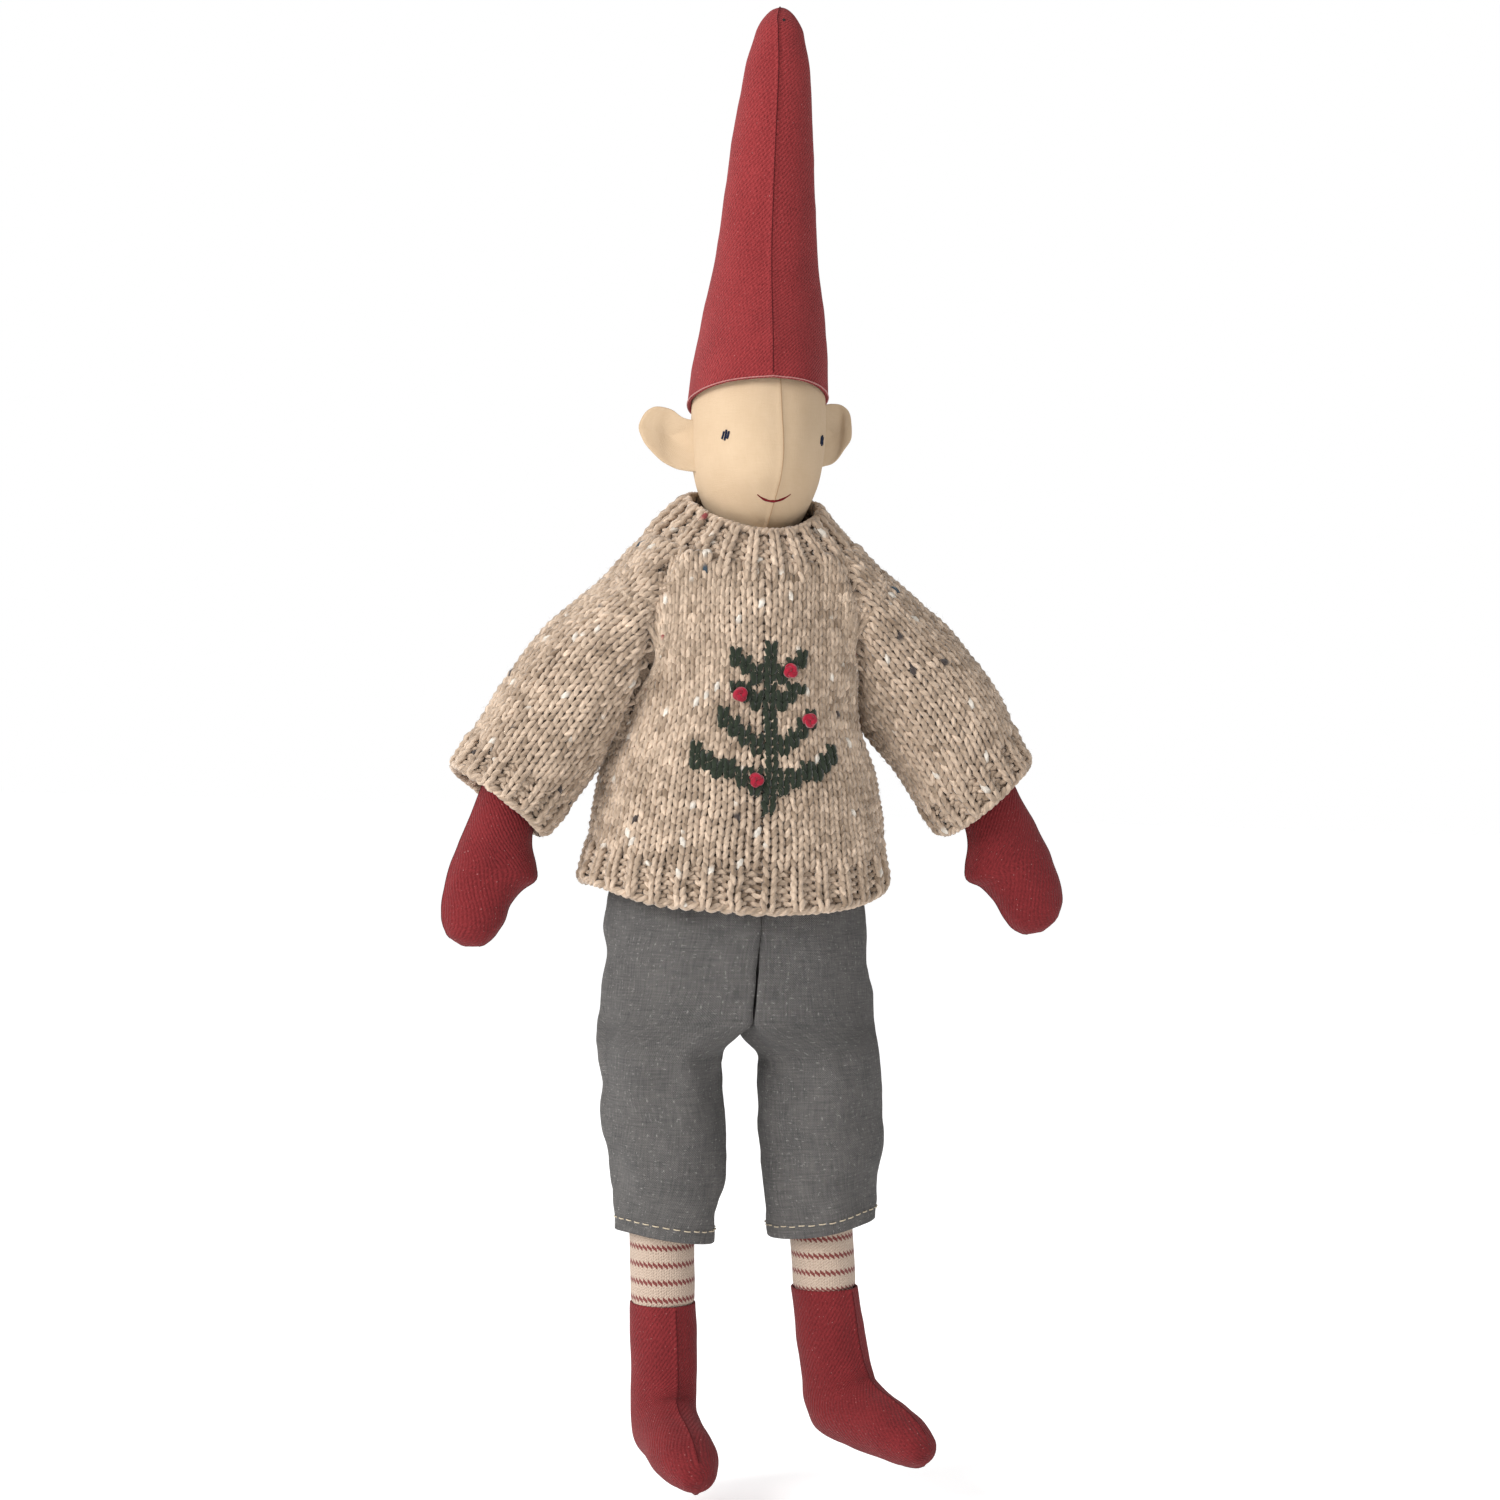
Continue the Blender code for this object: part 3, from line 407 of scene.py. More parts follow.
def sewn(name, points, look, close=(False, False), lip=(None, None), rough=(), seams=(), outside=1.0):
    """A cloth skin over a closed-round grid of points: dented by rough (size, depth, seed), drawn in along
    seams (column, depth, width in columns), with closed ends or a turned-in lip (wall, depth)."""
    points = np.array(points, float)
    points = dented(points, off_grid(points) * outside, close, rough, seams)
    SKIN[name] = points
    if lip[0]:
        points = turned_in(points[::-1], *lip[0])[::-1]
    if lip[1]:
        points = turned_in(points, *lip[1])
    rows, columns = points.shape[:2]
    step = np.linalg.norm(np.diff(points, axis=0), axis=-1).mean(1)
    v = np.concatenate([[0], np.cumsum(step)])
    girth = np.linalg.norm(np.roll(points, -1, 1) - points, axis=-1).sum(1)
    quads, r, c = net(rows, columns, True)
    maps = [np.stack([(c / columns - 0.5) * girth[r], v[r]], -1)]
    groups, flat = [quads], points.reshape(-1, 3)
    for row, closed in ((0, close[0]), (rows - 1, close[1])):
        if closed:
            groups.append(fan(row, columns, len(flat), row == 0))
            flat = np.concatenate([flat, points[row].mean(0)[None]])
            share = (np.arange(columns) / columns - 0.5) * girth[row]
            maps.append(np.stack([np.stack([share, share, share], -1), np.full((columns, 3), v[row])], -1))
    if outside < 0:
        groups = [g[:, ::-1] for g in groups]
        maps = [m[:, ::-1] for m in maps]
    return build(name, flat, groups, look, np.concatenate([m.reshape(-1, 2) for m in maps]))


def strand(name, path, radius, look, sides=6, closed=False, dye=None):
    """A thread along a path; radius is a number or one for each point, dye a colour for each point."""
    path = np.asarray(path, float)
    count = len(path)
    if closed:
        tangent = unit(np.roll(path, -1, 0) - np.roll(path, 1, 0))
    else:
        tangent = unit(np.gradient(path, axis=0))
    side = np.zeros_like(path)
    guide = np.array([0.0, 0.0, 1.0]) if abs(tangent[0][2]) < 0.9 else np.array([1.0, 0.0, 0.0])
    last = unit(np.cross(tangent[0], guide))
    for i in range(count):
        last = unit(last - tangent[i] * (last @ tangent[i]))
        side[i] = last
    up = np.cross(tangent, side)
    a = angles(sides)[None, :, None]
    size = np.broadcast_to(np.asarray(radius, float), (count,))[:, None, None]
    ring = path[:, None] + size * (np.cos(a) * side[:, None] + np.sin(a) * up[:, None])
    if closed:
        ring = np.concatenate([ring, ring[:1]])
    rows = len(ring)
    quads, r, c = net(rows, sides, True)
    run = np.concatenate([[0], np.cumsum(np.linalg.norm(np.diff(path, axis=0), axis=1))])
    run = np.append(run, run[-1]) if closed else run
    uv = np.stack([run[r], c / sides], -1).reshape(-1, 2)
    groups, flat = [quads], ring.reshape(-1, 3)
    if not closed:
        groups += [fan(0, sides, len(flat), True), fan(rows - 1, sides, len(flat) + 1, False)]
        flat = np.concatenate([flat, path[:1], path[-1:]])
        uv = np.concatenate([uv, np.zeros((sides * 6, 2))])
    colour = None if dye is None else np.concatenate([np.repeat(dye, sides, axis=0), dye[:1], dye[:1]])
    return build(name, flat, groups, look, uv, colour)


def seam_lines(name, cloth, body, columns, first, last):
    """The dark lines of a piece's seams, along columns of its skin; name has a gap for front or back."""
    skin = SKIN[cloth][first:last]
    out = unit(skin - skin.mean(1, keepdims=True))
    for where, column in columns.items():
        path = skin[:, column] - out[:, column] * SEAM_SINK
        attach(strand(name % where, path, SEAM_THICK, RED_SEAM, 5), body)


def joined(name, objects):
    """One piece out of several meshes."""
    with bpy.context.temp_override(active_object=objects[0], selected_editable_objects=objects,
                                   selected_objects=objects, object=objects[0]):
        bpy.ops.object.join()
    objects[0].name = name
    objects[0].data.name = name
    return objects[0]


# ---- materials ----------------------------------------------------------------------------------
class Output:
    """A node's output. Arithmetic with it adds Math nodes, so that a pattern reads as a formula."""

    def __init__(self, node, which=0):
        self.node, self.tree, self.socket = node, node.id_data, node.outputs[which]

    def __add__(self, other):
        return computed("ADD", self, other)

    def __sub__(self, other):
        return computed("SUBTRACT", self, other)

    def __rsub__(self, other):
        return computed("SUBTRACT", other, self)

    def __mul__(self, other):
        return computed("MULTIPLY", self, other)

    def __truediv__(self, other):
        return computed("DIVIDE", self, other)


def add(tree, kind, inputs=None, which=0, **settings):
    """A new node; which is the output that is wanted from it."""
    made = tree.nodes.new(kind)
    for key, value in settings.items():
        setattr(made, key, value)
    for slot, value in (inputs or {}).items():
        if isinstance(value, Output):
            tree.links.new(value.socket, made.inputs[slot])
        else:
            made.inputs[slot].default_value = value
    return Output(made, which)


def tree_of(*values):
    return next(v.tree for v in values if isinstance(v, Output))


def computed(operation, *values):
    inputs = dict(enumerate((*values, 0.0, 0.0)[:3]))
    return add(tree_of(*values), "ShaderNodeMath", inputs, operation=operation)


def sine(value):
    return computed("SINE", value)


def clamped(value):
    return add(value.tree, "ShaderNodeClamp", {0: value})


def ranged(value, from_low, from_high, low, high):
    return add(value.tree, "ShaderNodeMapRange", {0: value, 1: from_low, 2: from_high, 3: low, 4: high})


def mixed(amount, a, b, blend="MIX"):
    """A colour between two, each of them an output or red, green and blue."""
    colours = {slot: v if isinstance(v, Output) else (*v, 1.0) for slot, v in ((6, a), (7, b))}
    return add(tree_of(amount, a, b), "ShaderNodeMix", {0: amount, **colours}, 2,
               data_type="RGBA", blend_type=blend)


def shader(name, sheen, roughness=0.92):
    made = bpy.data.materials.new(name)
    made.use_nodes = True
    surface = made.node_tree.nodes["Principled BSDF"]
    surface.inputs["Roughness"].default_value = roughness
    surface.inputs["Specular IOR Level"].default_value = 0.12
    surface.inputs["Sheen Weight"].default_value = sheen
    surface.inputs["Sheen Roughness"].default_value = 0.5
    return made, made.node_tree, surface


def on_cloth(tree):
    """The piece's own place across and along the cloth, in metres."""
    split = add(tree, "ShaderNodeSeparateXYZ", {0: add(tree, "ShaderNodeUVMap", uv_map="cloth")})
    return split, Output(split.node, 1)


def grain(u, v, across, along, detail=3.0):
    """Noise with grains of that size across and along the cloth, in metres."""
    place = add(u.tree, "ShaderNodeCombineXYZ", {0: u / across, 1: v / along})
    return add(u.tree, "ShaderNodeTexNoise", {"Vector": place, "Scale": 1.0, "Detail": detail})


def dressed(surface, colour, height, depth):
    """Gives a shader its colour, and a relief that is depth metres high."""
    bump = add(colour.tree, "ShaderNodeBump", {"Height": height, "Distance": depth, "Strength": 1.0})
    colour.tree.links.new(colour.socket, surface.inputs["Base Color"])
    colour.tree.links.new(bump.socket, surface.inputs["Normal"])


def twill(name, low, high, line=0.26, lint=0.35):
    """Brushed wool twill: fine slanting ribs, thread grain, a soft nap and caught lint."""
    made, tree, surface = shader(name, 0.06)
    u, v = on_cloth(tree)
    wobble = grain(u, v, 0.004, 0.004)
    turn = TAU / TWILL_PITCH
    rib = sine(u * (turn * math.cos(TWILL_SLANT)) + v * (-turn * math.sin(TWILL_SLANT)) + wobble * 5.0)
    cross = sine(v * (TAU / 0.0012) + wobble * 6.0)
    threads = grain(u, v, 0.0005, 0.0010)
    patches = grain(u, v, 0.010, 0.016)
    tone = threads * 1.15 + patches * 0.45 + rib * (line * 0.5) + cross * rib * (line * 0.6)
    base = mixed(clamped(tone - 0.32), low, high)
    specks = grain(u, v, 0.0007, 0.0008, 1.0)
    colour = mixed(ranged(specks, 0.70, 0.80, 0.0, lint), base, LINT)
    dressed(surface, colour, rib * 0.4 + threads * 1.6, 0.00022)
    return made


def plain_weave(name, low, high, warp=0.00042, slub=0.25, bump=0.00012, streak=0.006, fleck=0.0):
    """Plain-woven cotton or linen: crossing threads, slubs and slight streaks."""
    made, tree, surface = shader(name, 0.05)
    u, v = on_cloth(tree)
    warp_line = sine(u * (TAU / warp))
    weft_line = sine(v * (TAU / (warp * 1.08)))
    weave = warp_line * weft_line
    down = grain(u, v, 0.0005, streak)
    over = grain(u, v, streak, 0.0005)
    patches = grain(u, v, 0.012, 0.014)
    slubs = down + over
    tone = (slubs - 1.0) * (slub * 4.0) + (patches - 0.5) * 0.7
    base = mixed(clamped(tone + 0.5 + weave * 0.10), low, high)
    if fleck:
        bright = computed("MAXIMUM", grain(u, v, 0.0006, 0.0016, 1.0), grain(v, u, 0.0006, 0.0019, 1.0))
        base = mixed(ranged(bright, 0.66, 0.76, 0.0, fleck), base, (0.42, 0.40, 0.38))
    dressed(surface, base, weave + slubs * 1.5, bump)
    return made


def striped_jersey(side):
    """Fine cream jersey with narrow stripes of slanting stitches round it."""
    made, tree, surface = shader("jersey_" + side, 0.15)
    u, v = on_cloth(tree)
    wale = computed("FRACT", u / JERSEY_STITCH)
    rise = (0.5 - wale) * (JERSEY_STITCH * 0.75)
    down = v - STRIPE_START[side]
    nearest = computed("ROUND", down / STRIPE_SPACING) * STRIPE_SPACING
    away = computed("ABSOLUTE", down - nearest - rise)
    amount = ranged(away, STRIPE_THICK * 0.40, STRIPE_THICK * 0.60, 0.92, 0.0)
    stitch = sine((v + rise) * (TAU / 0.0009))
    column = sine(u * (TAU / (JERSEY_STITCH * 0.5)))
    fuzz = grain(u, v, 0.0006, 0.0008)
    cream = mixed(clamped(fuzz * 0.9 + stitch * 0.12), (0.37, 0.27, 0.205), (0.66, 0.53, 0.43))
    colour = mixed(amount, cream, (0.17, 0.022, 0.022))
    dressed(surface, colour, stitch * 0.5 + column * 0.4 + fuzz * 1.5, 0.00016)
    return made


def yarn(name, tint=None, twist=0.0030, sheen=0.30, bump=0.00022):
    """Spun yarn: plies that twist along it, loose fibres, and colour that the mesh carries or one tint."""
    made, tree, surface = shader(name, sheen, 0.95)
    u, v = on_cloth(tree)
    ply = sine(v * (TAU * 2) + u * (TAU / twist))
    fibre = grain(u, v, 0.0012, 0.16, 4.0)
    amount = ranged(ply * 0.10 + fibre * 1.05, 0.25, 0.85, 0.72, 1.12)
    if tint is None:
        base = add(tree, "ShaderNodeVertexColor", layer_name="dye")
    else:
        base = add(tree, "ShaderNodeRGB")
        base.socket.default_value = (*tint, 1.0)
    shade = add(tree, "ShaderNodeCombineColor", {0: amount, 1: amount, 2: amount})
    dressed(surface, mixed(1.0, base, shade, "MULTIPLY"), ply * 0.5 + fibre, bump)
    return made


def thread(name, tint, sheen=0.1, bump=0.00005):
    return yarn(name, tint, 0.0012, sheen, bump)


RED_WOOL = twill("red_wool", (0.130, 0.012, 0.014), (0.340, 0.044, 0.046))
RED_DARK = twill("red_wool_boots", (0.082, 0.008, 0.010), (0.262, 0.030, 0.033), line=0.10, lint=0.55)
FACE = plain_weave("cream_cotton", (0.475, 0.335, 0.207), (0.625, 0.478, 0.328),
                   slub=0.06, bump=0.00004, streak=0.004)
LINEN = plain_weave("grey_linen", (0.072, 0.071, 0.070), (0.163, 0.153, 0.146),
                    warp=0.00065, slub=0.32, bump=0.00014, streak=0.008, fleck=0.5)
TWEED = yarn("tweed_yarn")
GREEN = yarn("green_yarn", (0.022, 0.030, 0.018))
RED_YARN = yarn("red_yarn", (0.33, 0.010, 0.030))
NAVY = thread("navy_thread", (0.010, 0.016, 0.040))
MAROON = thread("maroon_thread", (0.15, 0.010, 0.014))
SEAM_THREAD = thread("seam_thread", (0.42, 0.27, 0.155), 0.0)
RED_SEAM = thread("red_seam_thread", (0.085, 0.011, 0.013), 0.0)
RAW_EDGE = thread("raw_wool_edge", (0.46, 0.17, 0.16), 0.3, 0.00010)
CREAM_THREAD = thread("cream_thread", (0.62, 0.52, 0.38))
GREY_SEAM = thread("grey_seam_thread", (0.030, 0.030, 0.031), 0.0)
# the back of the knitting, darker than the yarn: painted shade for the gaps between the loops
GROUND_PAINTED_SHADE = plain_weave("tweed_ground_painted_shade", (0.17, 0.12, 0.085), (0.36, 0.27, 0.20), warp=0.0012, slub=0.2)
ELASTIC = plain_weave("elastic_band", (0.55, 0.52, 0.46), (0.80, 0.77, 0.70), warp=0.0009, slub=0.2)


# ---- shapes ------------------------------------------------------------------------------------
def hat():
    # the rows lie closer together where the tip rounds off
    share = np.concatenate([0.07 * np.linspace(0.02, 1, 22)[:-1] ** 2, np.linspace(0.07, 1.0, 116)])
    z = HAT[-1][0] * share
    half_w, half_d, x, rise = table(HAT, z)
    cap = np.sqrt(1 - (1 - np.clip(-z / TIP_DEPTH, 0, 1)) ** 2)
    half_w, half_d = half_w * cap, half_d * cap
    a = angles(120)[None, :] + np.arcsin(np.minimum(SEAM_OFF / half_w, 0.40))[:, None]
    half_w, half_d, x, rise, z = (q[:, None] for q in (half_w, half_d, x, rise, z))
    points = stack(x + half_w * np.cos(a), -half_d * np.sin(a), z + rise * np.sin(a))
    seams = {"front": 30, "back": 90}
    made = sewn("hat_cloth", points, RED_WOOL, close=(True, False), lip=(None, (0.0014, 0.0022)),
                outside=-1.0, rough=((0.030, 0.00045, 1), (0.011, 0.00030, 2), (0.004, 0.00010, 3)),
                seams=[(column, 0.0006, 1.3) for column in seams.values()])
    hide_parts("hat_left", "hat_right", "hat_filling")
    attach(made, "head")
    seam_lines("hat_seam_%s", "hat_cloth", "head", seams, 3, 136)
    edge = strand("hat_brim_edge", SKIN["hat_cloth"][-1], 0.00022, RAW_EDGE, 5, closed=True)
    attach(edge, "head")
    # a needle hole beside the seam, near the tip
    spot = front_at(surface_of(made), *NEEDLE_HOLE, 0.00004)
    rim = [spot + 0.00026 * np.array([math.cos(a), 0, 1.4 * math.sin(a)]) for a in angles(10)]
    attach(strand("hat_needle_hole", rim, 0.00028, GREY_SEAM, 5, closed=True), "head")


def head():
    z, a = np.meshgrid(np.linspace(-0.1000, -0.1765, 110), angles(128), indexing="ij")
    half_w, back, front = table(HEAD, z)
    c, s = np.cos(a), np.sin(a)
    depth = np.where(s > 0, front, back)
    # two flat side pieces meet in a profile seam, so the front is fuller than an ellipse near the middle
    power = np.where(s > 0, 1.0 + 0.10 * np.abs(c), 1.0)
    points = stack(HEAD_X + half_w * c, -depth * np.sign(s) * np.abs(s) ** power, z)
    made = sewn("face_cloth", points, FACE, close=(True, True), outside=-1.0,
                rough=((0.020, 0.00035, 5), (0.007, 0.00012, 6)),
                seams=((32, 0.00045, 0.9), (96, 0.0004, 0.9)))
    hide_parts("face_left", "face_right", "head_filling")
    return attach(made, "head")


def surface_of(made):
    """Finds where a line meets a piece."""
    return BVHTree.FromObject(made, bpy.context.evaluated_depsgraph_get())


def front_at(tree, x, z, lift=0.0):
    """The point of a piece's front at x and z, lifted off it."""
    hit, normal, _, _ = tree.ray_cast(Vector((x, -0.2, z)), Vector((0, 1, 0)))
    return np.array(hit + normal.normalized() * lift)


def face_details(face):
    tree = surface_of(face)
    # profile seam from the brim to the chin
    seam = [front_at(tree, HEAD_X, z, -0.00002) for z in np.linspace(-0.1160, -0.1680, 60)]
    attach(strand("face_seam", seam, 0.00012, SEAM_THREAD, 5), "head")
    drop = np.linspace(-1, 1, 9)
    for side, out in OUTWARD.items():
        parts = []
        for place, length in EYE_STITCHES:
            x = HEAD_X + out * EYE_OUT + place
            path = [front_at(tree, x + 0.0002 * d, EYE_Z + d * length, 0.00028 * (1 - d * d) - 0.0001)
                    for d in drop]
            parts.append(strand("eye_part", path, 0.00054 * (1 - 0.35 * drop**4), NAVY))
        eye = joined("eye_stitch_" + side, parts)
        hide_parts("eye_" + side)
        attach(eye, "head")
    # the smile is a row of back stitches, so its thickness comes and goes
    t = np.linspace(-1, 1, 25)
    x, z = HEAD_X + SMILE_HALF * t - 0.0003, SMILE_Z + SMILE_CURVE * t * t + 0.0003 * t
    path = [front_at(tree, *at, 0.00008) for at in zip(x, z)]
    thick = 0.00052 * (1 - 0.60 * np.abs(t) ** 3) * (1 + 0.12 * np.cos(t * 12))
    smile = strand("smile_stitch", path, thick, MAROON)
    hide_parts("mouth")
    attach(smile, "head")


def ear(side):
    """A flap of doubled cloth, folded back, with a soft hollow down its middle."""
    out, rings, columns, count = OUTWARD[side], 26, 96, len(EAR[side])
    # the outline goes round three times, so that it runs smoothly through its own start
    thrice = np.column_stack([np.arange(3 * count) - count, np.array(EAR[side] * 3)])
    edge = np.array(table(thrice.tolist(), count * np.arange(columns) / columns))
    middle = edge.mean(1, keepdims=True)
    reaches = np.linspace(0.02, 1, rings)
    rows = []
    for layer, reach in [(1, t) for t in reaches] + [(-1, t) for t in reaches[::-1]]:
        along, z = middle + (edge - middle) * reach
        puff = 0.0013 * np.sqrt(np.clip(1 - reach**2, 0, 1)) ** 0.8 + 0.00015
        hollow = EAR_HOLLOW[side] * np.exp(-(((along - 0.0096) / 0.0040) ** 2)) * (1 - 0.75 * reach**3)
        curl = -0.0010 * np.clip((along - 0.0100) / 0.010, 0, 1) ** 2
        y = 0.0008 + hollow + curl - layer * puff
        rows.append(np.stack([HEAD_X + out * (EAR_ROOT + along * math.cos(EAR_BACK) + y * math.sin(EAR_BACK)),
                              along * math.sin(EAR_BACK) + y * math.cos(EAR_BACK), z], -1))
    made = sewn("ear_cloth_" + side, np.array(rows), FACE, close=(True, True), outside=EAR_FACING[side],
                rough=((0.006, 0.00018, 8), (0.0025, 0.00006, 9)))
    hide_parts("ear_" + side)
    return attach(made, "head")


# ---- sweater ------------------------------------------------------------------------------------
def sleeve_frame(side):
    """The middle of the cuff, the way towards the neck, and the way to the sleeve's upper edge."""
    lean, out = ARM_LEAN[side], OUTWARD[side]
    cuff = np.array([TORSO_X + out * (SHOULDER_OUT + ARM_LENGTH * math.sin(lean)), 0.0,
                     SHOULDER_Z - ARM_LENGTH * math.cos(lean)])
    towards = np.array([-out * math.sin(lean), 0.0, math.cos(lean)])
    upper = np.array([out * math.cos(lean), 0.0, math.sin(lean)])
    return cuff, towards, upper


def body_field(p):
    half_w, half_d = table(SWEATER, p[..., 2])
    x, y = np.abs((p[..., 0] - TORSO_X) / half_w), np.abs(p[..., 1] / half_d)
    round_ = (x**KNIT_SHAPE + y**KNIT_SHAPE) ** (1 / KNIT_SHAPE)
    return (round_ - 1) * np.minimum(half_w, half_d)


def sleeve_field(p, side):
    cuff, towards, upper = sleeve_frame(side)
    along, up = (p - cuff) @ towards, (p - cuff) @ upper
    high, low, deep = table(SLEEVE[side], along)
    half = (high - low) / 2
    round_ = np.sqrt(((up - (high + low) / 2) / half) ** 2 + (p[..., 1] / deep) ** 2)
    return (round_ - 1) * np.minimum(half, deep) + 20 * np.clip(-0.002 - along, 0, 1)


def sweater_field(p):
    """Distance off the sweater's outside, where body and sleeves run softly into each other."""
    off, soft = body_field(p), 0.0036
    for side in OUTWARD:
        other = sleeve_field(p, side)
        h = np.clip(0.5 + 0.5 * (off - other) / soft, 0, 1)
        off = off + (other - off) * h - soft * h * (1 - h)
    return off


def slope_of(field, p):
    e = 2e-4
    steps = [np.eye(3)[i] * e for i in range(3)]
    return np.stack([(field(p + d) - field(p - d)) / (2 * e) for d in steps], -1)


def settled(p):
    """Points moved onto the sweater's outside, and the directions off it."""
    for _ in range(3):
        g = slope_of(sweater_field, p)
        p = p - g * (sweater_field(p) / np.maximum((g * g).sum(-1), 0.05))[..., None]
    return p, unit(slope_of(sweater_field, p))


def raglan(p):
    """How far outside the raglan line a point is; below nought it's on the body."""
    return np.abs(p[..., 0] - TORSO_X) - table(RAGLAN, p[..., 2])[0]


def creased(p, n):
    """The knitting sinks along the raglan seam and swells softly elsewhere."""
    sink = -0.0030 * np.exp(-((raglan(p) / 0.0022) ** 2)) * ease((p[..., 2] + 0.2500) / 0.02)
    swell = 0.0012 * lumps(p, 0.022, 21) + 0.0006 * lumps(p, 0.009, 22)
    return p + n * (sink + swell)[..., None]


def even_angle(share):
    """Angles that share out an oval's edge evenly; share goes from -0.5 to 0.5 round from the front."""
    fine = np.linspace(-math.pi, math.pi, 2001)
    step = np.hypot(np.diff(KNIT_ASPECT * np.sin(fine)), np.diff(np.cos(fine)))
    run = np.concatenate([[0], np.cumsum(step)])
    return np.interp(share, run / run[-1] - 0.5, fine)


def body_place(s, c):
    """Where a stitch of the sweater body lies: s stitches round from the back, c courses down."""
    t = even_angle((s / BODY_WALES) % 1.0 - 0.5)
    hem = ease((c - 0.55 * BODY_COURSES) / (0.45 * BODY_COURSES))
    off_front = 1 - np.maximum(np.cos(t), 0) ** 1.5
    z = BODY_TOP - c * STITCH_H + hem * (0.0030 + (HEM_RISE + HEM_SLANT * np.sin(t)) * off_front)
    z = z - hem * 0.0010 * lumps(stack(np.sin(t) * 0.03, np.cos(t) * 0.03, 0 * t), 0.016, 33)
    half_w, half_d = table(SWEATER_LAY, z)
    shape = 2 / KNIT_SHAPE
    sin, cos = np.sin(t), np.cos(t)
    x, y = half_w * np.sign(sin) * np.abs(sin) ** shape, -half_d * np.sign(cos) * np.abs(cos) ** shape
    p, n = settled(stack(TORSO_X + x, y, z))
    return creased(p, n), n


def sleeve_place(side):
    cuff, towards, upper = sleeve_frame(side)

    def place(s, c):
        """Stitches round from the underside, courses up from the cuff."""
        along = c * STITCH_H + CUFF_START[side]
        high, low, deep = table(SLEEVE[side], along)
        t = TAU * s / SLEEVE_WALES
        up = (high + low) / 2 - (high - low) / 2 * np.cos(t)
        p = cuff + along[..., None] * towards + up[..., None] * upper
        p[..., 1] += deep * np.sin(t) * OUTWARD[side]
        p, n = settled(p)
        return creased(p, n), n

    return place


def collar_level(p):
    """How many courses below the collar's top a point is."""
    t = np.arctan2(p[..., 0] - COLLAR_X, -p[..., 1])
    return (COLLAR_TOP - COLLAR_DIP * (0.5 + 0.5 * np.cos(t)) ** 2 - p[..., 2]) / COLLAR_H


def inside_collar(p):
    level = collar_level(p)
    half_w, half_d = table(COLLAR, np.clip(level, 0, 5))
    within = ((p[..., 0] - COLLAR_X) / (half_w + 0.0050)) ** 2 + (p[..., 1] / (half_d + 0.0050)) ** 2 < 1
    return (within & (level < COLLAR_COURSES - 0.6)) | (level < 2.0)


def collar_place(s, c):
    t = TAU * (s / COLLAR_WALES) - math.pi

    def at(t, c):
        front = 0.5 + 0.5 * np.cos(t)
        half_w, half_d = table(COLLAR, c)
        half_d = half_d - 0.00042 * np.clip(c, 0, 6) * (1 - front) ** 1.5
        z = COLLAR_TOP - COLLAR_DIP * front**2 - c * COLLAR_H
        return stack(COLLAR_X + half_w * np.sin(t), -half_d * np.cos(t), z)

    p = at(t, c)
    n = unit(np.cross(at(t, c + 0.2) - at(t, c - 0.2), at(t + 0.02, c) - at(t - 0.02, c)))
    return p + n * (0.0007 * lumps(p, 0.009, 41))[..., None], n


def fibres(i, j, line, n, tangent, radius, seed):
    """Bent loose fibres, six points each, and the row and column of yarn where each one starts."""
    picks = np.random.default_rng(seed)
    chosen = picks.integers(0, len(i), int(len(i) / LOOP_POINTS * FIBRES))
    i, j, amount = i[chosen], j[chosen], len(chosen)
    sway = picks.normal(size=(amount, 3)) * 0.5
    stand = unit(n[i, j] * 0.8 + sway)
    curl = unit(tangent[i, j] * picks.choice([-1.0, 1.0], amount)[:, None] + sway + 0.2 * n[i, j])
    length = picks.uniform(0.0007, 0.0022, amount)[:, None]
    broad = unit(np.cross(stand, curl)) * FIBRE_HALF
    root = line[i, j] + n[i, j] * radius[i, j][:, None] * 0.6
    middle = root + stand * length * 0.5
    tip = middle + curl * length * 0.6
    points = [root - broad, root + broad, middle - broad, middle + broad,
              tip - broad * 0.4, tip + broad * 0.4]
    return np.stack(points, 1), i, j


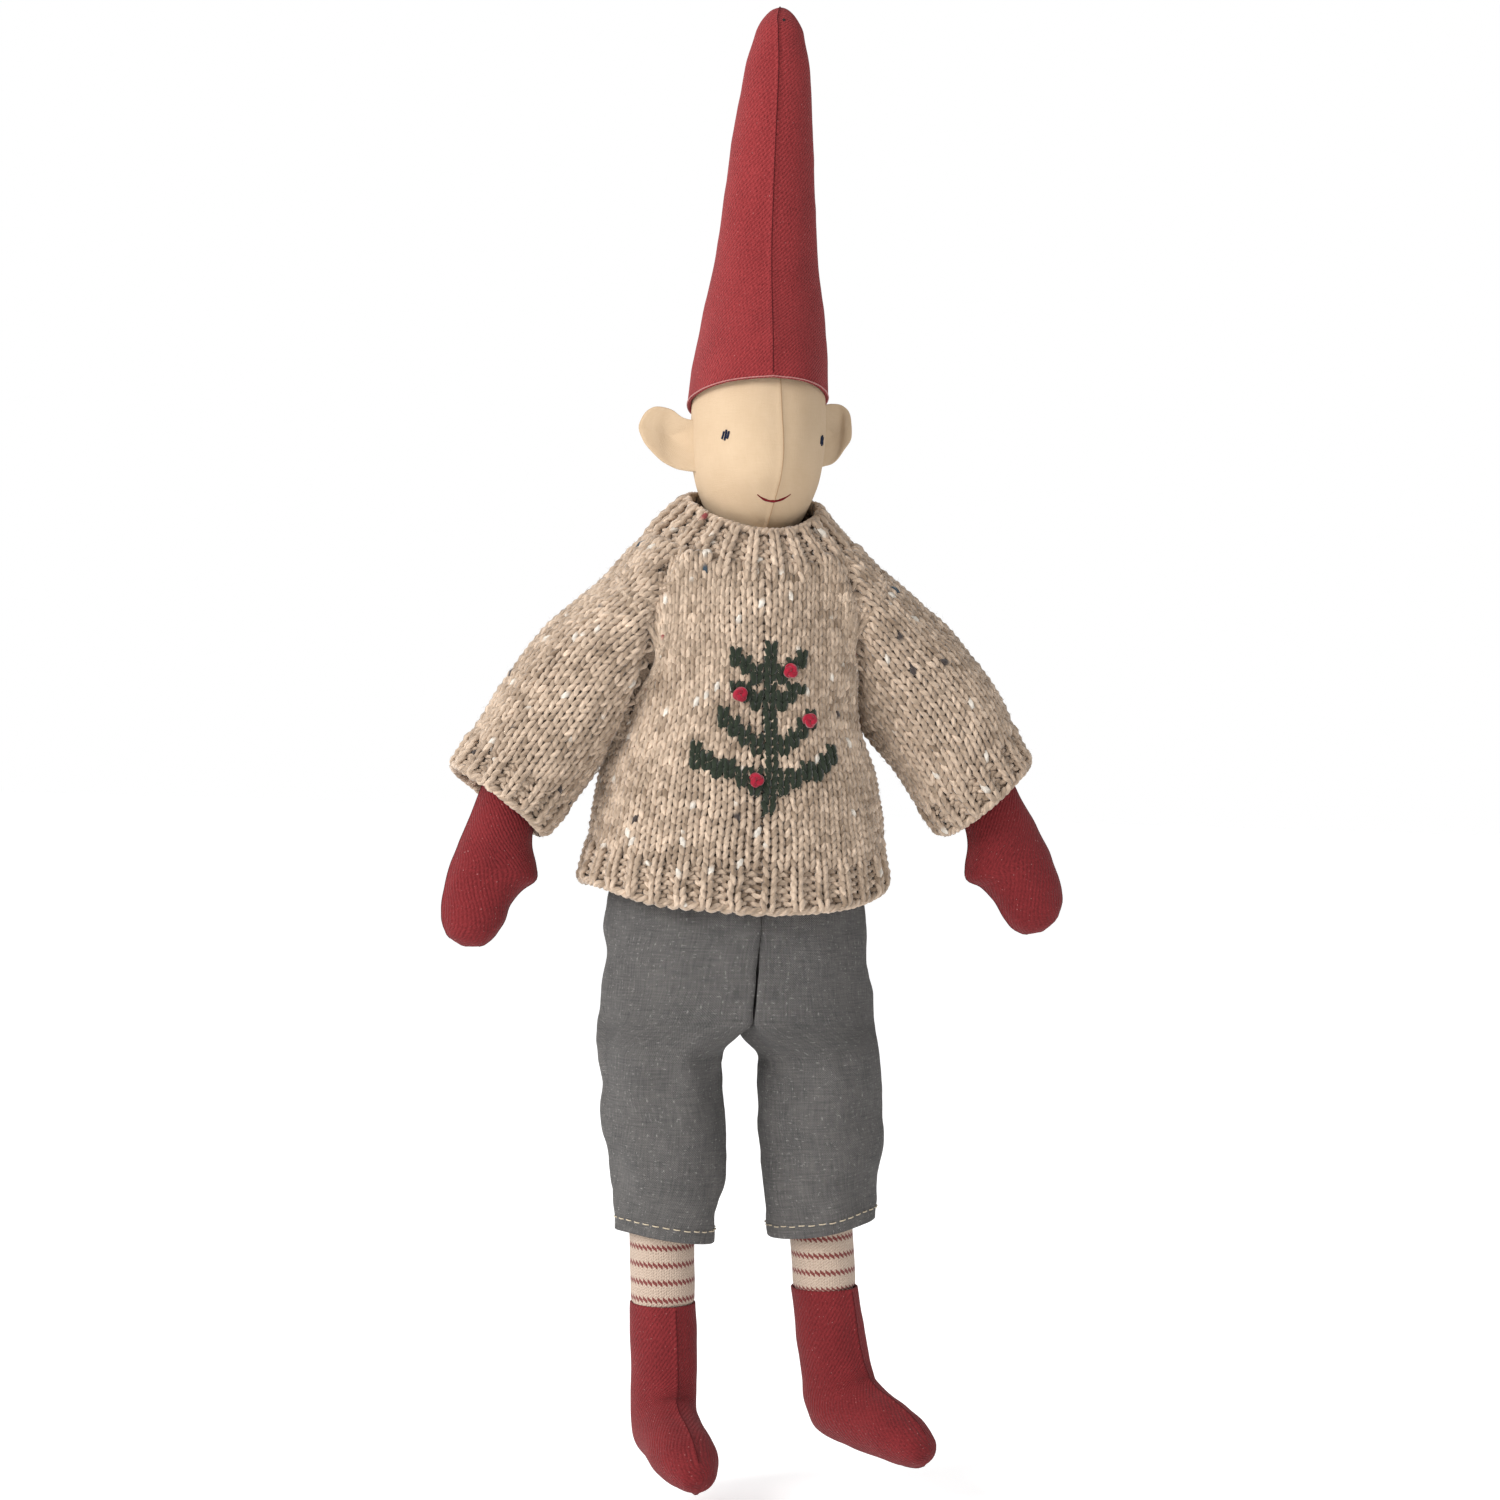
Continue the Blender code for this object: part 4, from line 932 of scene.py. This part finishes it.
def stitches(name, place, wales, courses, keep, knit_up=False, rib=(0, 0), offset=0.0, thick=1.0, only=None,
             look=TWEED):
    """Yarn loops: wales is (first, last) and courses a count. keep says from its middle if a stitch is there,
    rib is (courses at the top, courses at the bottom) in one-by-one rib, only picks stitches by number."""
    first, last = wales
    count = (last - first) * LOOP_POINTS
    seed = sum(ord(letter) for letter in name[:6]) % 97
    c = np.arange(courses)[:, None] + 0.5
    s = np.broadcast_to(first + np.arange(count + 1) / LOOP_POINTS, (courses, count + 1))
    at = stack(s, c, 0.0)
    slack_s = 0.10 * lumps(at, 1.7, seed) + 0.10 * lumps(at, 6.0, seed + 1)
    slack_c = 0.13 * lumps(at, 1.9, seed + 2) + 0.30 * lumps(at * (1, 2, 1), 9.0, seed + 3)
    ribbed = np.broadcast_to((c < rib[0]) | (c > courses - rib[1]), s.shape)
    across = s + np.where(ribbed, LOOP_SWING * 0.9, LOOP_SWING) * np.sin(2 * TAU * s) + slack_s
    down = c - (LOOP_RISE if knit_up else -LOOP_RISE) * np.cos(TAU * s) + slack_c
    side = np.clip(2.2 * np.sin(math.pi * s), -1, 1)
    depth = -LOOP_DEPTH * np.cos(2 * TAU * s) * np.where(ribbed, side, 1.0)
    depth = depth + np.where(ribbed, 0.00075 * side - 0.0001, 0.0)
    p, n = place(across, down)
    line = p + n * (depth + offset + 0.00012 * lumps(at, 0.8, seed + 4))[..., None]
    tangent = unit(np.gradient(line, axis=1))
    side_way = unit(np.cross(tangent, n))
    up_way = np.cross(side_way, tangent)
    slub = 1.0 + 0.16 * lumps(at * (1, 9, 1), 0.9, seed + 5) + 0.08 * lumps(at * (1, 9, 1), 0.3, seed + 6)
    if look is TWEED:
        colours, thicker = dyed(at, seed)
        slub = slub + thicker
    radius = YARN * thick * slub
    a = angles(YARN_SIDES)[:, None]
    ring = line[:, :, None] + radius[:, :, None, None] * (
        np.cos(a) * side_way[:, :, None] + np.sin(a) * up_way[:, :, None])
    # a stitch is kept or left out whole
    middle_s, middle_c = np.meshgrid(np.arange(first, last) + 0.5, np.arange(courses) + 0.5, indexing="xy")
    there = keep(place(middle_s, middle_c)[0])
    if only is not None:
        there &= only(np.floor(middle_s).astype(int), np.floor(middle_c).astype(int))
    i, j = np.nonzero(np.repeat(there, LOOP_POINTS, axis=1))
    k = np.arange(YARN_SIDES)
    base = (i * (count + 1) + j)[:, None] * YARN_SIDES
    following, turned = base + YARN_SIDES, (k + 1) % YARN_SIDES
    quads = np.stack([base + k, following + k, following + turned, base + turned], -1)
    step = np.cumsum(np.linalg.norm(np.diff(line, axis=1), axis=-1), axis=1)
    run = np.concatenate([np.zeros((courses, 1)), step], axis=1)
    shift = (i * 0.0137)[:, None]        # neighbouring courses don't show the same grain
    u0, u1 = run[i, j][:, None] + shift, run[i, j + 1][:, None] + shift
    v0, v1 = k / YARN_SIDES, (k + 1) / YARN_SIDES
    corners = (u0, v0), (u1, v0), (u1, v1), (u0, v1)
    uv = np.stack([np.stack(np.broadcast_arrays(u, v), -1) for u, v in corners], -2)
    hairs, fi, fj = fibres(i, j, line, n, tangent, radius, seed)
    first_hair = ring.size // 3 + np.arange(len(hairs))[:, None] * 6
    hair_quads = np.concatenate([first_hair + [0, 1, 3, 2], first_hair + [2, 3, 5, 4]])
    points = np.concatenate([ring.reshape(-1, 3), hairs.reshape(-1, 3)])
    hair_uv = np.tile([[0.1, 0.1], [0.1, 0.2], [0.101, 0.2], [0.101, 0.1]], (2 * len(hairs), 1))
    colour = None
    if look is TWEED:
        paler = colours[fi, fj] * 0.7 + 0.3 * np.array(FIBRE_COLOUR)
        spun = np.repeat(colours.reshape(-1, 3), YARN_SIDES, axis=0)
        colour = np.concatenate([spun, np.repeat(paler, 6, axis=0)])
    return build(name, points, [quads.reshape(-1, 4), hair_quads], look,
                 np.concatenate([uv.reshape(-1, 2), hair_uv]), colour)


def dyed(place, seed):
    """Heathered colour along the yarn with flecks in it, and how much thicker the flecks make it."""
    rows, count = place.shape[:2]
    stretched = place * (1, 7, 1)
    tone = 0.5 + 0.46 * lumps(stretched, 0.50, seed + 7) + 0.26 * lumps(stretched, 0.20, seed + 10)
    tone = tone + 0.14 * lumps(stretched, 3.0, seed + 8) + 0.11 * lumps(place, 5.0, seed + 9)
    tone = np.clip(tone, 0, 1)[..., None]
    colour = np.array(TWEED_LOW) * (1 - tone) + np.array(TWEED_HIGH) * tone
    thicker = np.zeros((rows, count))
    flecks = random.Random(seed)
    for _ in range(int(rows * count / LOOP_POINTS * FLECKS)):
        row, start, length = flecks.randrange(rows), flecks.randrange(count - 8), flecks.randrange(2, 5)
        pick = flecks.random()
        for shade, share in NEPPS:
            pick -= share
            if pick < 0:
                break
        colour[row, start:start + length] = np.array(shade) * flecks.uniform(0.85, 1.0)
        thicker[row, start:start + length] = flecks.uniform(0.0, 0.14)
    return colour, thicker


def ground(name, place, wales, courses, keep):
    """The closed back of the knitting, seen between its loops; its darker colour is painted shade in the gaps
    between the loops.
    """
    s, c = np.meshgrid(np.arange(wales + 1.0), np.arange(courses + 1.0), indexing="xy")
    p, n = place(s, c)
    p = p - n * 0.0008
    quads, r, q = net(*p.shape[:2], False, keep((p[:-1, :-1] + p[1:, 1:]) / 2))
    return build(name, p, [quads], GROUND_PAINTED_SHADE, np.stack([q * STITCH_W, r * STITCH_H], -1).reshape(-1, 2))


def edge_rope(name, place, wales, course):
    """A cast-on edge: two plies laid round each other along a course."""
    parts = []
    s = np.linspace(0, wales, wales * 10 + 1)
    for phase in (0.0, math.pi):
        t = TAU * s * 0.75 + phase
        p, n = place(s, course + 0.20 * np.cos(t) + 0.12 * lumps(stack(s, 0, 0), 2.0, 60))
        colours, thicker = dyed(stack(s, phase + course, 0)[None], 71)
        path = p + n * (0.00045 * np.sin(t))[:, None]
        parts.append(strand(name + "_ply", path, 0.00086 * (1 + thicker[0]), TWEED, dye=colours[0]))
    return joined(name, parts)


def in_body(p, over=0.0):
    return (raglan(p) < over) & ~inside_collar(p)


def in_sleeve(p, over=0.0):
    return (raglan(p) > -over) & ~inside_collar(p)


def sweater():
    quarter = BODY_WALES // 4
    front, back = (quarter, 3 * quarter), (-quarter, quarter)
    backing = ground("sweater_ground_painted_shade", body_place, BODY_WALES, BODY_COURSES, lambda p: in_body(p, 0.003))
    pieces = [
        stitches("sweater_front_knit", body_place, front, BODY_COURSES, in_body, rib=(0, HEM_RIB)),
        stitches("sweater_back_knit", body_place, back, BODY_COURSES, in_body, rib=(0, HEM_RIB)),
        edge_rope("hem_edge", body_place, BODY_WALES, BODY_COURSES + 0.1),
    ]
    fir = stitches("fir_tree_yarn", body_place, front, BODY_COURSES, in_body, offset=0.00050, thick=1.12,
                   only=tree_chart, look=GREEN)
    for made in pieces + [backing, fir]:
        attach(made, "torso")
    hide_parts("sweater_front", "sweater_back")
    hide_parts("fir_tree")
    knots(pieces[0])
    neck()
    for side in OUTWARD:
        sleeve(side)


def tree_chart(wale, course):
    picked = np.zeros(wale.shape, bool)
    for row, columns in enumerate(TREE):
        picked |= np.isin(wale - TREE_WALE, columns) & (course == TREE_COURSE + row)
    return picked


def knots(knit):
    """French knots: a yarn wound round itself into a ball."""
    tree = surface_of(knit)
    for number, (x, z) in enumerate(KNOTS, 1):
        middle = front_at(tree, x, z, 0.0010)
        t = np.linspace(0, TAU, 120, endpoint=False)
        turn = 0.7 * number
        swell = 1 + 0.38 * np.cos(3 * t + turn)
        path = stack(np.cos(2 * t) * swell, 0.62 * np.sin(3 * t + turn) - 0.15, np.sin(2 * t) * swell)
        made = strand("knot_%d" % number, middle + path * 0.00112, 0.00092, RED_YARN, 8, closed=True)
        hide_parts("red_knot_%d" % number)
        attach(made, "torso")


def neck():
    def everywhere(p):
        return np.ones(p.shape[:-1], bool)

    courses = COLLAR_COURSES + 1
    backing = ground("collar_ground_painted_shade", collar_place, COLLAR_WALES, courses, everywhere)
    pieces = [
        stitches("collar_knit", collar_place, (0, COLLAR_WALES), courses, everywhere, rib=(courses + 1, 0)),
        edge_rope("collar_edge", collar_place, COLLAR_WALES, -0.15),
    ]
    for made in pieces + [backing]:
        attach(made, "torso")
    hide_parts("collar")


def sleeve(side):
    out, place = OUTWARD[side], sleeve_place(side)
    backing = ground("sleeve_ground_painted_shade_" + side, place, SLEEVE_WALES, SLEEVE_COURSES,
                     lambda p: in_sleeve(p, 0.003))
    pieces = [
        stitches("sleeve_knit_" + side, place, (0, SLEEVE_WALES), SLEEVE_COURSES, in_sleeve, knit_up=True,
                 rib=(CUFF_RIB, 0)),
        edge_rope("cuff_edge_" + side, place, SLEEVE_WALES, -0.1),
    ]
    start, end = (TORSO_X + out * 0.030, 0, SHOULDER_Z), (TORSO_X + out * 0.052, 0, SHOULDER_Z - 0.006)
    for made in pieces + [backing]:
        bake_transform(made)
        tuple(start)
        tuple(end)
    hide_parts("sleeve_" + side)


# ---- under the sweater --------------------------------------------------------------------------
def body_form():
    z, a = np.meshgrid(np.linspace(-0.1652, -0.2900, 62), angles(72), indexing="ij")
    half_w, half_d = table(BODY, z)
    points = stack(TORSO_X + half_w * np.cos(a), -half_d * np.sin(a), z)
    made = sewn("body_form", points, FACE, close=(False, True), outside=-1.0, rough=((0.02, 0.0004, 50),),
                seams=((0, 0.0004, 1.0), (36, 0.0004, 1.0)))
    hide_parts("body_front", "body_back", "body_filling")
    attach(made, "torso")
    z, a = np.meshgrid(np.linspace(-0.2602, -0.2658, 14), angles(96), indexing="ij")
    wave = 1 + 0.006 * np.cos(24 * a)
    points = stack(TORSO_X + 0.0398 * wave * np.cos(a), -0.0272 * wave * np.sin(a), z)
    band = sewn("waist_band", points, ELASTIC, lip=((0.0008, 0.004), (0.0008, 0.004)), outside=-1.0)
    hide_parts("waist_elastic")
    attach(band, "torso")


def limb_point(side, x, z, wide, tilt, y):
    """Points from places in an arm's own plane, wide off its middle line, which leans by tilt."""
    return stack(TORSO_X + OUTWARD[side] * (SHOULDER_OUT + x + wide * np.cos(tilt)), y,
                 SHOULDER_Z + z + wide * np.sin(tilt))


def arm(side):
    lean, out = ARM_LEAN[side], OUTWARD[side]
    share, a = np.meshgrid(np.linspace(-0.048, 0.97, 40), angles(48), indexing="ij")
    half_w, half_d = table(ARM, share)
    tilt = math.pi / 2 + (lean - math.pi / 2) * ease(share)
    reach = share * ARM_LENGTH
    x, z = np.where(share < 0, reach, reach * math.sin(lean)), np.where(share < 0, 0, -reach * math.cos(lean))
    points = limb_point(side, x, z, half_w * np.cos(a), tilt, -half_d * np.sin(a))
    made = sewn("arm_cloth_" + side, points, FACE, close=(True, False), outside=-out,
                rough=((0.015, 0.0003, 51),))
    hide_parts("arm_skin_" + side, "arm_filling_" + side)
    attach(made, "arm_" + side)
    mitten(side)


def mitten(side):
    lean, hand = ARM_LEAN[side], HAND_LEAN[side]
    wrist = 0.935 * ARM_LENGTH
    share = np.concatenate([np.linspace(0, 0.90, 56), [0.925, 0.945, 0.962, 0.977, 0.988, 0.996, 1.0]])
    reach, a = np.meshgrid(-0.0080 + 0.0588 * share, angles(72), indexing="ij")
    outer, inner, deep = table(MITTEN, reach)
    c, s = np.cos(a), np.sin(a)
    wide = np.where(c > 0, outer * MITTEN_OUTER[side], inner) * c
    # the thumb is a thinner lobe towards the body
    lobe = ease((-c - 0.55) / 0.45) * np.exp(-(((reach - 0.0240) / 0.0060) ** 2))
    deep = deep * (1 - 0.10 * lobe)
    bent = ease((reach + 0.004) / 0.012)
    tilt = lean + (hand - lean) * bent
    x = wrist * math.sin(lean) + reach * np.sin(tilt) + WRIST_OUT[side]
    z = -wrist * math.cos(lean) - reach * np.cos(tilt)
    flat = np.abs(s) ** 0.92 * np.sign(s)
    points = limb_point(side, x, z, wide, tilt, -deep * flat)
    made = sewn("mitten_cloth_" + side, points, RED_DARK, close=(False, True), lip=((0.0010, 0.004), None),
                outside=-OUTWARD[side], rough=((0.014, 0.0006, 52), (0.005, 0.00022, 53)),
                seams=((0, 0.0005, 1.2), (36, 0.0006, 1.2)))
    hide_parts("mitten_front_" + side, "mitten_back_" + side, "mitten_filling_" + side)
    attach(made, "arm_" + side)
    seams = {"outer": 0, "inner": 36}
    seam_lines("mitten_seam_%s_" + side, "mitten_cloth_" + side, "arm_" + side, seams, 1, 60)


# ---- legs ---------------------------------------------------------------------------------------
def on_leg(side, local):
    """Points from places below the hip, along the leg."""
    out = OUTWARD[side]
    turn = Matrix.Rotation(-out * LEG_SPLAY[side], 3, "Y") @ Matrix.Rotation(LEG_BACK, 3, "X")
    return local @ np.array(turn).T + np.array([HIP_X + out * HIP_OUT, 0.0, HIP_Z])


def trousers(side):
    """Half a pair of trousers: the seat from the centre seam outwards, running into a leg."""
    out = OUTWARD[side]
    share = np.linspace(0, 1, 130)
    v, a = np.meshgrid(TROUSER_TOP + (TROUSER_END[side] - TROUSER_TOP) * share, angles(96), indexing="ij")
    world_z = HIP_Z + v
    half_w, half_d, middle = table(SEAT, world_z)
    b = (a + math.pi) % TAU - math.pi
    outer = np.abs(b) < SEAT_TURN
    bend = np.clip(b / SEAT_TURN, -1, 1) * math.pi / 2
    side_run = np.where(b > 0, math.pi - b, -(math.pi + b)) / (math.pi - SEAT_TURN)
    centre = HIP_X - 0.0006
    wide = out * np.maximum(half_w * np.cos(bend), 0.0) * (1 + (middle - centre) * out / half_w)
    seat = stack(centre + np.where(outer, wide, out * 0.0002),
                 -half_d * np.where(outer, np.sin(bend), side_run), world_z)
    shift, leg_w, leg_d = table(TROUSER_LEG[side], v)
    tilted = v + HEM_TILT * np.cos(a) * ease((-0.030 - v) / 0.040)
    leg = on_leg(side, stack(shift + out * leg_w * np.cos(a), -leg_d * np.sin(a), tilted))
    inner_way = ease((CROTCH_Z - world_z) / 0.013)
    outer_way = ease((-0.300 - world_z) / 0.040)
    lean_in = ease((0.25 - np.cos(a)) / 0.55)
    way = (outer_way * (1 - lean_in) + inner_way * lean_in)[..., None]
    points = seat * (1 - way) + leg * way
    # soft folds: long upright ones, slanting ones that run from the crotch, and a few across the knee
    fold = 0.0014 * lumps(stack(a * 0.020 + 0.002 * np.sin(v * 90), 0.05 * out, v * 0.22), 0.012, 61)
    slant = stack(a * 0.018 + v * 0.30 * out, 0, v * 0.15)
    fold += 0.0008 * lumps(slant, 0.009, 62) * np.exp(-(((world_z + 0.335) / 0.025) ** 2))
    fold += 0.0008 * lumps(stack(a * 0.012, 0, v), 0.010, 63)
    hem = ease((v - TROUSER_END[side]) / 0.010)
    points = points + off_grid(points) * out * (fold * (0.35 + 0.65 * hem))[..., None]
    made = sewn("trousers_" + side, points, LINEN, lip=((0.0009, 0.004), (0.0009, 0.010)), outside=-out,
                rough=((0.018, 0.0010, 64), (0.008, 0.00065, 65), (0.0035, 0.00020, 66)))
    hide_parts("trouser_seat_" + side, "trouser_leg_" + side)
    stitches_round = hem_stitches(side, SKIN["trousers_" + side], v)
    start, end = (HIP_X + out * HIP_OUT, 0, -0.298), (HIP_X + out * HIP_OUT, 0, -0.334)
    for piece in (made, stitches_round):
        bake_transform(piece)
        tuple(start)
        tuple(end)


def hem_stitches(side, points, v):
    """A running stitch a few millimetres above the trouser hem."""
    row = int(np.argmin(np.abs(v[:, 0] - (TROUSER_END[side] + 0.0036))))
    ring = points[row]
    n = off_grid(points)[row] * OUTWARD[side]
    n = np.where(((ring - ring.mean(0)) * n).sum(-1, keepdims=True) > 0, n, -n)
    ring = ring + n * 0.0002
    closed = np.concatenate([ring, ring[:1]])
    normal = np.concatenate([n, n[:1]])
    run = np.concatenate([[0], np.cumsum(np.linalg.norm(np.diff(closed, axis=0), axis=1))])
    dashes = []
    at = 0.0004
    while at < run[-1] - 0.0026:
        t = np.linspace(at, at + 0.0021, 7)
        path = np.stack([np.interp(t, run, closed[:, k]) for k in range(3)], -1)
        rise = np.stack([np.interp(t, run, normal[:, k]) for k in range(3)], -1)
        path = path + rise * (0.00028 * np.sin(np.linspace(0, math.pi, 7)) - 0.0001)[:, None]
        path[:, 2] += 0.00020 * math.sin(at * 900)
        dashes.append(strand("dash", path, 0.00020, CREAM_THREAD, 5))
        at += 0.0034
    return joined("hem_stitching_" + side, dashes)


def stocking(side):
    v, a = np.meshgrid(np.linspace(0.0150, -LEG_LENGTH[side] - 0.0030, 90), angles(60), indexing="ij")
    half_w, half_d = table(STOCKING, v)
    lean = BOOT_LEAN[side][0][1] * ease((-0.060 - v) / 0.030)
    tucked = 1 - 0.12 * ease((0.0012 - LEG_LENGTH[side] - v) / 0.0024)
    points = on_leg(side, stack(lean + tucked * half_w * np.cos(a), -tucked * half_d * np.sin(a), v))
    made = sewn("stocking_leg_" + side, points, striped_jersey(side), close=(True, False), outside=-1.0,
                rough=((0.014, 0.0004, 71), (0.005, 0.00015, 72)))
    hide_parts("stocking_" + side, "leg_filling_" + side)
    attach(made, "leg_" + side)


def boot(side):
    turn = np.array(Matrix.Rotation(BOOT_TURN[side], 3, "Z"))
    share = np.concatenate([np.linspace(0, 0.94, 90), [0.952, 0.964, 0.975, 0.985, 0.993, 1.0]])
    t, a = np.meshgrid(share, angles(80), indexing="ij")
    forward, z, pitch, half_t, half_w = table(BOOT, t)
    pitch = np.radians(pitch)
    s, c = np.sin(a), np.cos(a)
    local = stack(half_w * c, -forward - half_t * np.cos(pitch) * s, z + half_t * np.sin(pitch) * s)
    local = local @ turn.T + np.array([0, 0, -LEG_LENGTH[side]])
    local = local + stack(table(BOOT_LEAN[side], t)[0], 0.0, 0.0)
    points = on_leg(side, local)
    made = sewn("boot_cloth_" + side, points, RED_DARK, close=(False, True), lip=((0.0009, 0.005), None),
                outside=-1.0, rough=((0.016, 0.0006, 81), (0.006, 0.00025, 82)),
                seams=((20, 0.0007, 1.2), (60, 0.0006, 1.2)))
    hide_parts("boot_inner_" + side, "boot_outer_" + side, "boot_filling_" + side)
    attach(made, "leg_" + side)
    seams = {"front": 20, "back": 60}
    seam_lines("boot_seam_%s_" + side, "boot_cloth_" + side, "leg_" + side, seams, 1, 92)


# ---- the studio ---------------------------------------------------------------------------------
def area_light(name, place, size, power):
    data = bpy.data.lights.new(name, "AREA")
    data.shape, data.size, data.energy = "DISK", size, power
    lamp = bpy.data.objects.new(name, data)
    lamp.location = place
    lamp.rotation_euler = (Vector(LIT) - Vector(place)).to_track_quat("-Z", "Y").to_euler()
    bpy.context.scene.collection.objects.link(lamp)


def studio():
    scene = bpy.context.scene
    scene.view_settings.view_transform = "Standard"
    world = bpy.data.worlds.new("studio")
    world.use_nodes = True
    # the sky lights softly, and is plain white where it's seen
    sky = world.node_tree.nodes["Background"]
    sky.inputs[0].default_value = (1.0, 1.0, 1.0, 1.0)
    tree = world.node_tree
    seen = add(tree, "ShaderNodeLightPath", which="Is Camera Ray")
    way = add(tree, "ShaderNodeSeparateXYZ", {0: add(tree, "ShaderNodeTexCoord", which="Generated")})
    strength = ranged(way, -1.0, 1.0, SKY_LEFT, SKY_RIGHT)
    tree.links.new(computed("MULTIPLY_ADD", strength, 1.0 - seen, seen).socket, sky.inputs[1])
    scene.world = world
    floor_look, tree, surface = shader("studio_floor", 0.0, 0.9)
    spots = add(tree, "ShaderNodeTexNoise", {"Scale": 6.0})
    tree.links.new(mixed(spots, (0.93, 0.93, 0.93), (0.95, 0.95, 0.95)).socket, surface.inputs["Base Color"])
    surface.inputs["Emission Color"].default_value = (1.0, 1.0, 1.0, 1.0)
    surface.inputs["Emission Strength"].default_value = FLOOR_GLOW
    quarters = (-1, -1), (1, -1), (1, 1), (-1, 1)
    corners = np.array([(x * FLOOR_HALF, y * FLOOR_HALF, FLOOR_Z) for x, y in quarters])
    build("studio_floor", corners, [np.array([[0, 1, 2, 3]])], floor_look)
    area_light("key", KEY_PLACE, KEY_SIZE, KEY_POWER)
    area_light("back", BACK_PLACE, BACK_SIZE, BACK_POWER)

    right = Vector((math.cos(CAMERA_TURN), math.sin(CAMERA_TURN), 0.0))
    back = Vector((math.sin(CAMERA_TURN), -math.cos(CAMERA_TURN), 0.0))
    rise = Vector((0.0, 0.0, 1.0))
    image_right = right * math.cos(CAMERA_ROLL) + rise * math.sin(CAMERA_ROLL)
    image_up = rise * math.cos(CAMERA_ROLL) - right * math.sin(CAMERA_ROLL)
    lens = bpy.data.cameras.new("camera")
    lens.lens, lens.clip_start = CAMERA_LENS, 0.05
    camera = bpy.data.objects.new("camera", lens)
    place = Vector(CAMERA_TARGET) + back * CAMERA_AWAY
    camera.matrix_world = Matrix((
        (image_right.x, image_up.x, back.x, place.x), (image_right.y, image_up.y, back.y, place.y),
        (image_right.z, image_up.z, back.z, place.z), (0, 0, 0, 1)))
    scene.collection.objects.link(camera)
    scene.camera = camera


def main():
    hat()
    face = head()
    face_details(face)
    body_form()
    for side in OUTWARD:
        ear(side)
        arm(side)
        stocking(side)
        boot(side)
        trousers(side)
    sweater()
    studio()


main()
